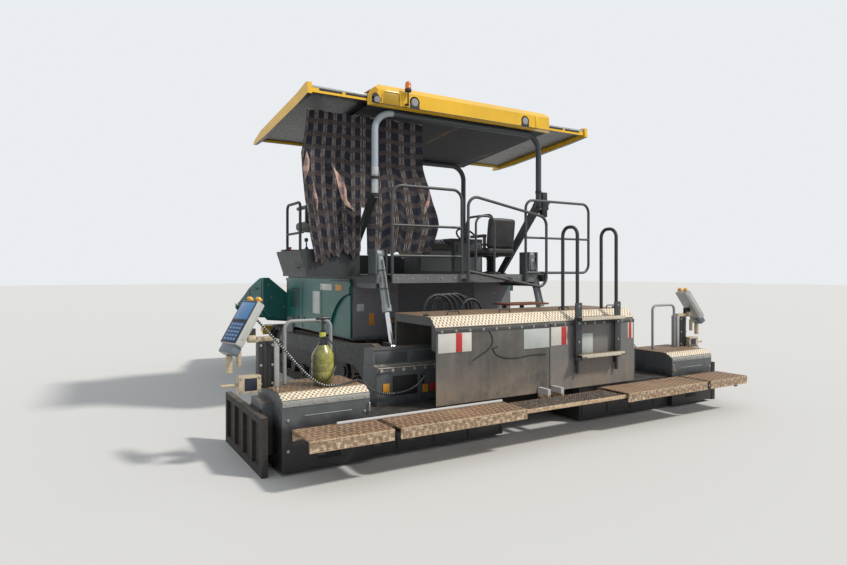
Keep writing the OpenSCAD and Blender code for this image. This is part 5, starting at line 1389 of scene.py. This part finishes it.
class PAVER_OT_hoses(bpy.types.Operator):
    """Ferrules of the hoses and pipes along the lift cylinders"""

    bl_idname = "paver.hoses"
    bl_label = "Hoses and pipes"

    def execute(self, context):
        zinc = plain("ferrule_zinc", (0.5, 0.47, 0.38), 0.3, 0.9)
        feet = []
        for x, y, half in ((1.66, 0.57, 0.19), (1.72, 0.44, 0.17), (1.79, 0.33, 0.2), (1.85, 0.2, 0.18),
                           (1.91, 0.08, 0.16), (1.64, 0.11, 0.15)):
            for e in (-1, 1):
                feet.append(turned([(0.0, 0.025), (0.014, 0.025), (0.016, 0.021), (0.05, 0.0205),
                                    (0.052, 0.0175)], at(x, y + e * half, 1.0603), UP, 12))
        merged(feet, "hose_ferrules", zinc, "chassis")
        pipe = paint("pipe_paint", (0.1, 0.11, 0.12), rough=0.4)
        down, out = Vector((-0.2972, 0, -0.9548)), Vector((-0.9548, 0, 0.2972))
        for side, s in SIDES:
            top = at(2.03, s * 1.15, 1.86)
            line = [top + down * a + out * b
                    for a, b in ((0.09, 0.044), (0.09, 0.062), (0.655, 0.062), (0.655, 0.05))]
            pieces = [tube(bent(line, 0.012), 0.008, 3)]
            for a in (0.2, 0.42):
                pieces.append(band(top + down * a, top + down * (a + 0.021), 0.0484, 0.0026))
                pieces.append(drum(top + down * (a + 0.01) + out * 0.044, top + down * (a + 0.01) + out * 0.072,
                                   0.013, 12, 0.002))
            merged(pieces, "lift_pipe_" + side, pipe, "barrel_" + side)
            nuts = hexes([top + down * 0.6995 + Vector((0, s * 0.04 * math.sin(k), 0))
                          + out * 0.04 * math.cos(k) for k in (0.8, 2.4, 3.9, 5.5)], down, 0.006)
            merged(nuts, "gland_bolts_" + side, zinc, "barrel_" + side)
        return {"FINISHED"}


class PAVER_OT_body(bpy.types.Operator):
    """Plates, latches, bolts and grips of the tractor"""

    bl_idname = "paver.body"
    bl_label = "Tractor body"

    def execute(self, context):
        white = chipped("body_white", (0.62, 0.64, 0.62), (0.3, 0.3, 0.28), 0.68, 0.35)
        amber = chipped("body_amber", (0.74, 0.32, 0.03), (0.3, 0.2, 0.1), 0.68, 0.35)
        black = plain("latch_black", (0.02, 0.02, 0.02), 0.45)
        steel = plain("body_bolt", (0.35, 0.34, 0.32), 0.4, 0.8)
        rear = (2.5668, 2.5698)
        panels, oranges, dark, bolts = [block(*rear, 1.09, 1.19, 1.16, 1.25, 0.001)], [], [], []
        oranges.append(block(*rear, 0.95, 1.02, 0.98, 1.13, 0.001))
        for s in (1, -1):
            skin = (s * 1.2802, s * 1.283)
            panels += [block(3.6, 3.87, *skin, 1.07, 1.38, 0.001),
                       block(3.16, 3.58, *skin, 1.405, 1.49, 0.001)]
            oranges.append(block(2.82, 3.04, *skin, 1.41, 1.49, 0.001))
            for x in (3.52, 4.3, 5.0):
                dark.append(block(x, x + 0.006, s * 1.2785, s * 1.2835, 0.83, 1.5, 0.001))
            for x in (3.4, 3.66, 4.2, 4.45):
                dark.append(block(x, x + 0.07, s * 1.28, s * 1.294, 0.95, 0.985, 0.004))
            for i in range(9):
                dark.append(block(4.45, 4.85, s * 1.2795, s * 1.286,
                                  1.12 + i * 0.034, 1.138 + i * 0.034, 0.002))
            bolts += [(at(x, s * 1.28, z), (0, s, 0)) for x in (3.55, 3.95, 4.27, 4.33, 4.7, 4.97)
                      for z in (0.86, 1.47)]
            dark.append(block(2.6, 3.2, s * 1.2925, s * 1.297, 1.53, 1.546, 0.002))
        merged(panels, "blank_plates", white, "chassis")
        merged(oranges, "amber_marks", amber, "chassis")
        merged(dark, "side_fittings", black, "chassis")
        heads = []
        for place, toward in bolts:
            heads += hexes([place], toward, 0.009)
        heads += hexes([at(1.8495, -1.2 + i * 0.2, 1.57)
                        for i in range(13) if abs(abs(-1.2 + i * 0.2) - 1.15) > 0.12],
                       REARWARD, 0.009)
        heads += hexes([at(2.5695, y, z) for y in (0.68, 0.9, 1.2, -0.68, -0.95, -1.2) for z in (0.84, 1.35)],
                       REARWARD, 0.01)
        merged(heads, "body_bolts", steel, "chassis")
        cover = [tube(bent([at(x, y - 0.09, 1.8503), at(x, y - 0.09, 1.9), at(x, y + 0.09, 1.9),
                            at(x, y + 0.09, 1.8503)], 0.02), 0.009, 2)
                 for x in (4.42, 4.95) for y in (-0.35, 0.35)]
        cover += [block(4.98, 5.04, y - 0.03, y + 0.03, 1.8485, 1.8565, 0.003) for y in (-0.95, 0.95)]
        merged(cover, "cover_handles", black, "cover")
        return {"FINISHED"}


class PAVER_OT_tracks(bpy.types.Operator):
    """Shoe bolts and chain pins of the tracks"""

    bl_idname = "paver.tracks"
    bl_label = "Tracks"

    def execute(self, context):
        wheelbase, chain, outer, sprocket, shoes = 2.85, 0.335, 0.38, 2.87, 44
        half = math.pi * chain
        pitch = (2 * wheelbase + 2 * half) / shoes

        def place(run, radius):
            if run < wheelbase:
                return (sprocket + run, outer - radius), (0, -1)
            if run < wheelbase + half:
                a = (run - wheelbase) / chain
                return ((sprocket + wheelbase + radius * math.sin(a), outer - radius * math.cos(a)),
                        (math.sin(a), -math.cos(a)))
            if run < 2 * wheelbase + half:
                return (sprocket + 2 * wheelbase + half - run, outer + radius), (0, 1)
            a = math.pi + (run - 2 * wheelbase - half) / chain
            return (sprocket + radius * math.sin(a), outer - radius * math.cos(a)), (math.sin(a), -math.cos(a))

        steel = plain("shoe_bolt", (0.22, 0.2, 0.18), 0.5, 0.7)
        pin = plain("chain_pin", (0.3, 0.28, 0.25), 0.4, 0.8)
        for side, s in SIDES:
            heads, pins = [], []
            for i in range(shoes):
                (x, z), (nx, nz) = place((i + 0.5) * pitch, outer - 0.004)
                if nz > -0.9:
                    spots = [at(x + nz * a, s * (1.122 + b), z - nx * a) for a in (-0.03, 0.03)
                             for b in (-0.07, 0.07)]
                    turn = Vector((nx, 0, nz)).to_track_quat("Z", "Y")
                    for spot in spots:
                        c = drum((0, 0, 0), (0, 0, 0.0075), 0.011, 6)
                        c.rotation_euler = turn.to_euler()
                        c.location = spot
                        heads.append(c)
                (x, z), _ = place(i * pitch, chain - 0.021)
                pins.append(drum(at(x, s * (1.122 - 0.119), z), at(x, s * (1.122 + 0.119), z), 0.0115, 10))
            merged(heads, "shoe_bolts_" + side, steel, "chassis")
            merged(pins, "chain_pins_" + side, pin, "chassis")
        return {"FINISHED"}


class PAVER_OT_hopper(bpy.types.Operator):
    """Edge bars, bolts and rims of the hopper and its rollers"""

    bl_idname = "paver.hopper"
    bl_label = "Hopper"

    def execute(self, context):
        steel = plain("hopper_bolt", (0.4, 0.38, 0.35), 0.4, 0.8)
        black = plain("hopper_black", (0.03, 0.03, 0.03), 0.5)
        for side, s in SIDES:
            body = "wing_" + side
            bolts = hexes([at(5.2 + i * 0.2, s * 1.635, 1.1) for i in range(7)], (0, s, 0), 0.011)
            bolts += hexes([at(5.119, s * y, z) for y, z in ((1.05, 1.0), (1.3, 1.1), (1.5, 1.25), (1.55, 1.45))],
                           REARWARD, 0.011)
            merged(bolts, "wing_bolts_rear_" + side, steel, body)
            bars = [block(5.2, 5.26, s * 1.633, s * 1.643, 1.12, 1.5, 0.003),
                    block(5.9, 5.96, s * 1.633, s * 1.643, 1.12, 1.36, 0.003)]
            bars.append(tube(bent([at(5.4, s * 1.632, 1.38), at(5.4, s * 1.665, 1.38), at(5.7, s * 1.665, 1.38),
                                   at(5.7, s * 1.632, 1.38)], 0.02), 0.009, 2))
            merged(bars, "wing_bars_" + side, black, body)
            caps = []
            for y in (0.1755, 1.0345):
                caps += hexes([at(7.145 + 0.055 * math.cos(a), s * y, 0.56 + 0.055 * math.sin(a))
                               for a in (0.4, 2.5, 4.6)], (0, s * (1 if y > 0.6 else -1), 0), 0.01)
            merged(caps, "roller_bolts_" + side, steel, "roller_" + side)
        return {"FINISHED"}


class PAVER_PT_panel(bpy.types.Panel):
    """Lists the steps that dress the paver"""

    bl_idname = "PAVER_PT_panel"
    bl_label = "Paver"
    bl_space_type = "VIEW_3D"
    bl_region_type = "UI"
    bl_category = "Paver"

    def draw(self, context):
        for group in (context.scene.paver_colours, context.scene.paver_sizes):
            for name in group.__annotations__:
                self.layout.prop(group, name)
        for step in STEPS:
            self.layout.operator(step.bl_idname)


STEPS = (
    PAVER_OT_stage, PAVER_OT_cable, PAVER_OT_finishes, PAVER_OT_curtain, PAVER_OT_covers, PAVER_OT_walkways,
    PAVER_OT_end_boxes, PAVER_OT_ladder, PAVER_OT_control_posts, PAVER_OT_sprayer, PAVER_OT_canopy,
    PAVER_OT_seats, PAVER_OT_consoles, PAVER_OT_hoses, PAVER_OT_body, PAVER_OT_tracks, PAVER_OT_hopper,
)
CLASSES = (PaverColours, PaverSizes, *STEPS, PAVER_PT_panel)


def register():
    for c in CLASSES:
        bpy.utils.register_class(c)
    bpy.types.Scene.paver_colours = bpy.props.PointerProperty(type=PaverColours)
    bpy.types.Scene.paver_sizes = bpy.props.PointerProperty(type=PaverSizes)


def unregister():
    del bpy.types.Scene.paver_sizes
    del bpy.types.Scene.paver_colours
    for c in reversed(CLASSES):
        bpy.utils.unregister_class(c)


def main():
    register()
    for step in STEPS:
        getattr(bpy.ops.paver, step.bl_idname.partition(".")[2])()


if __name__ == "__main__":
    main()
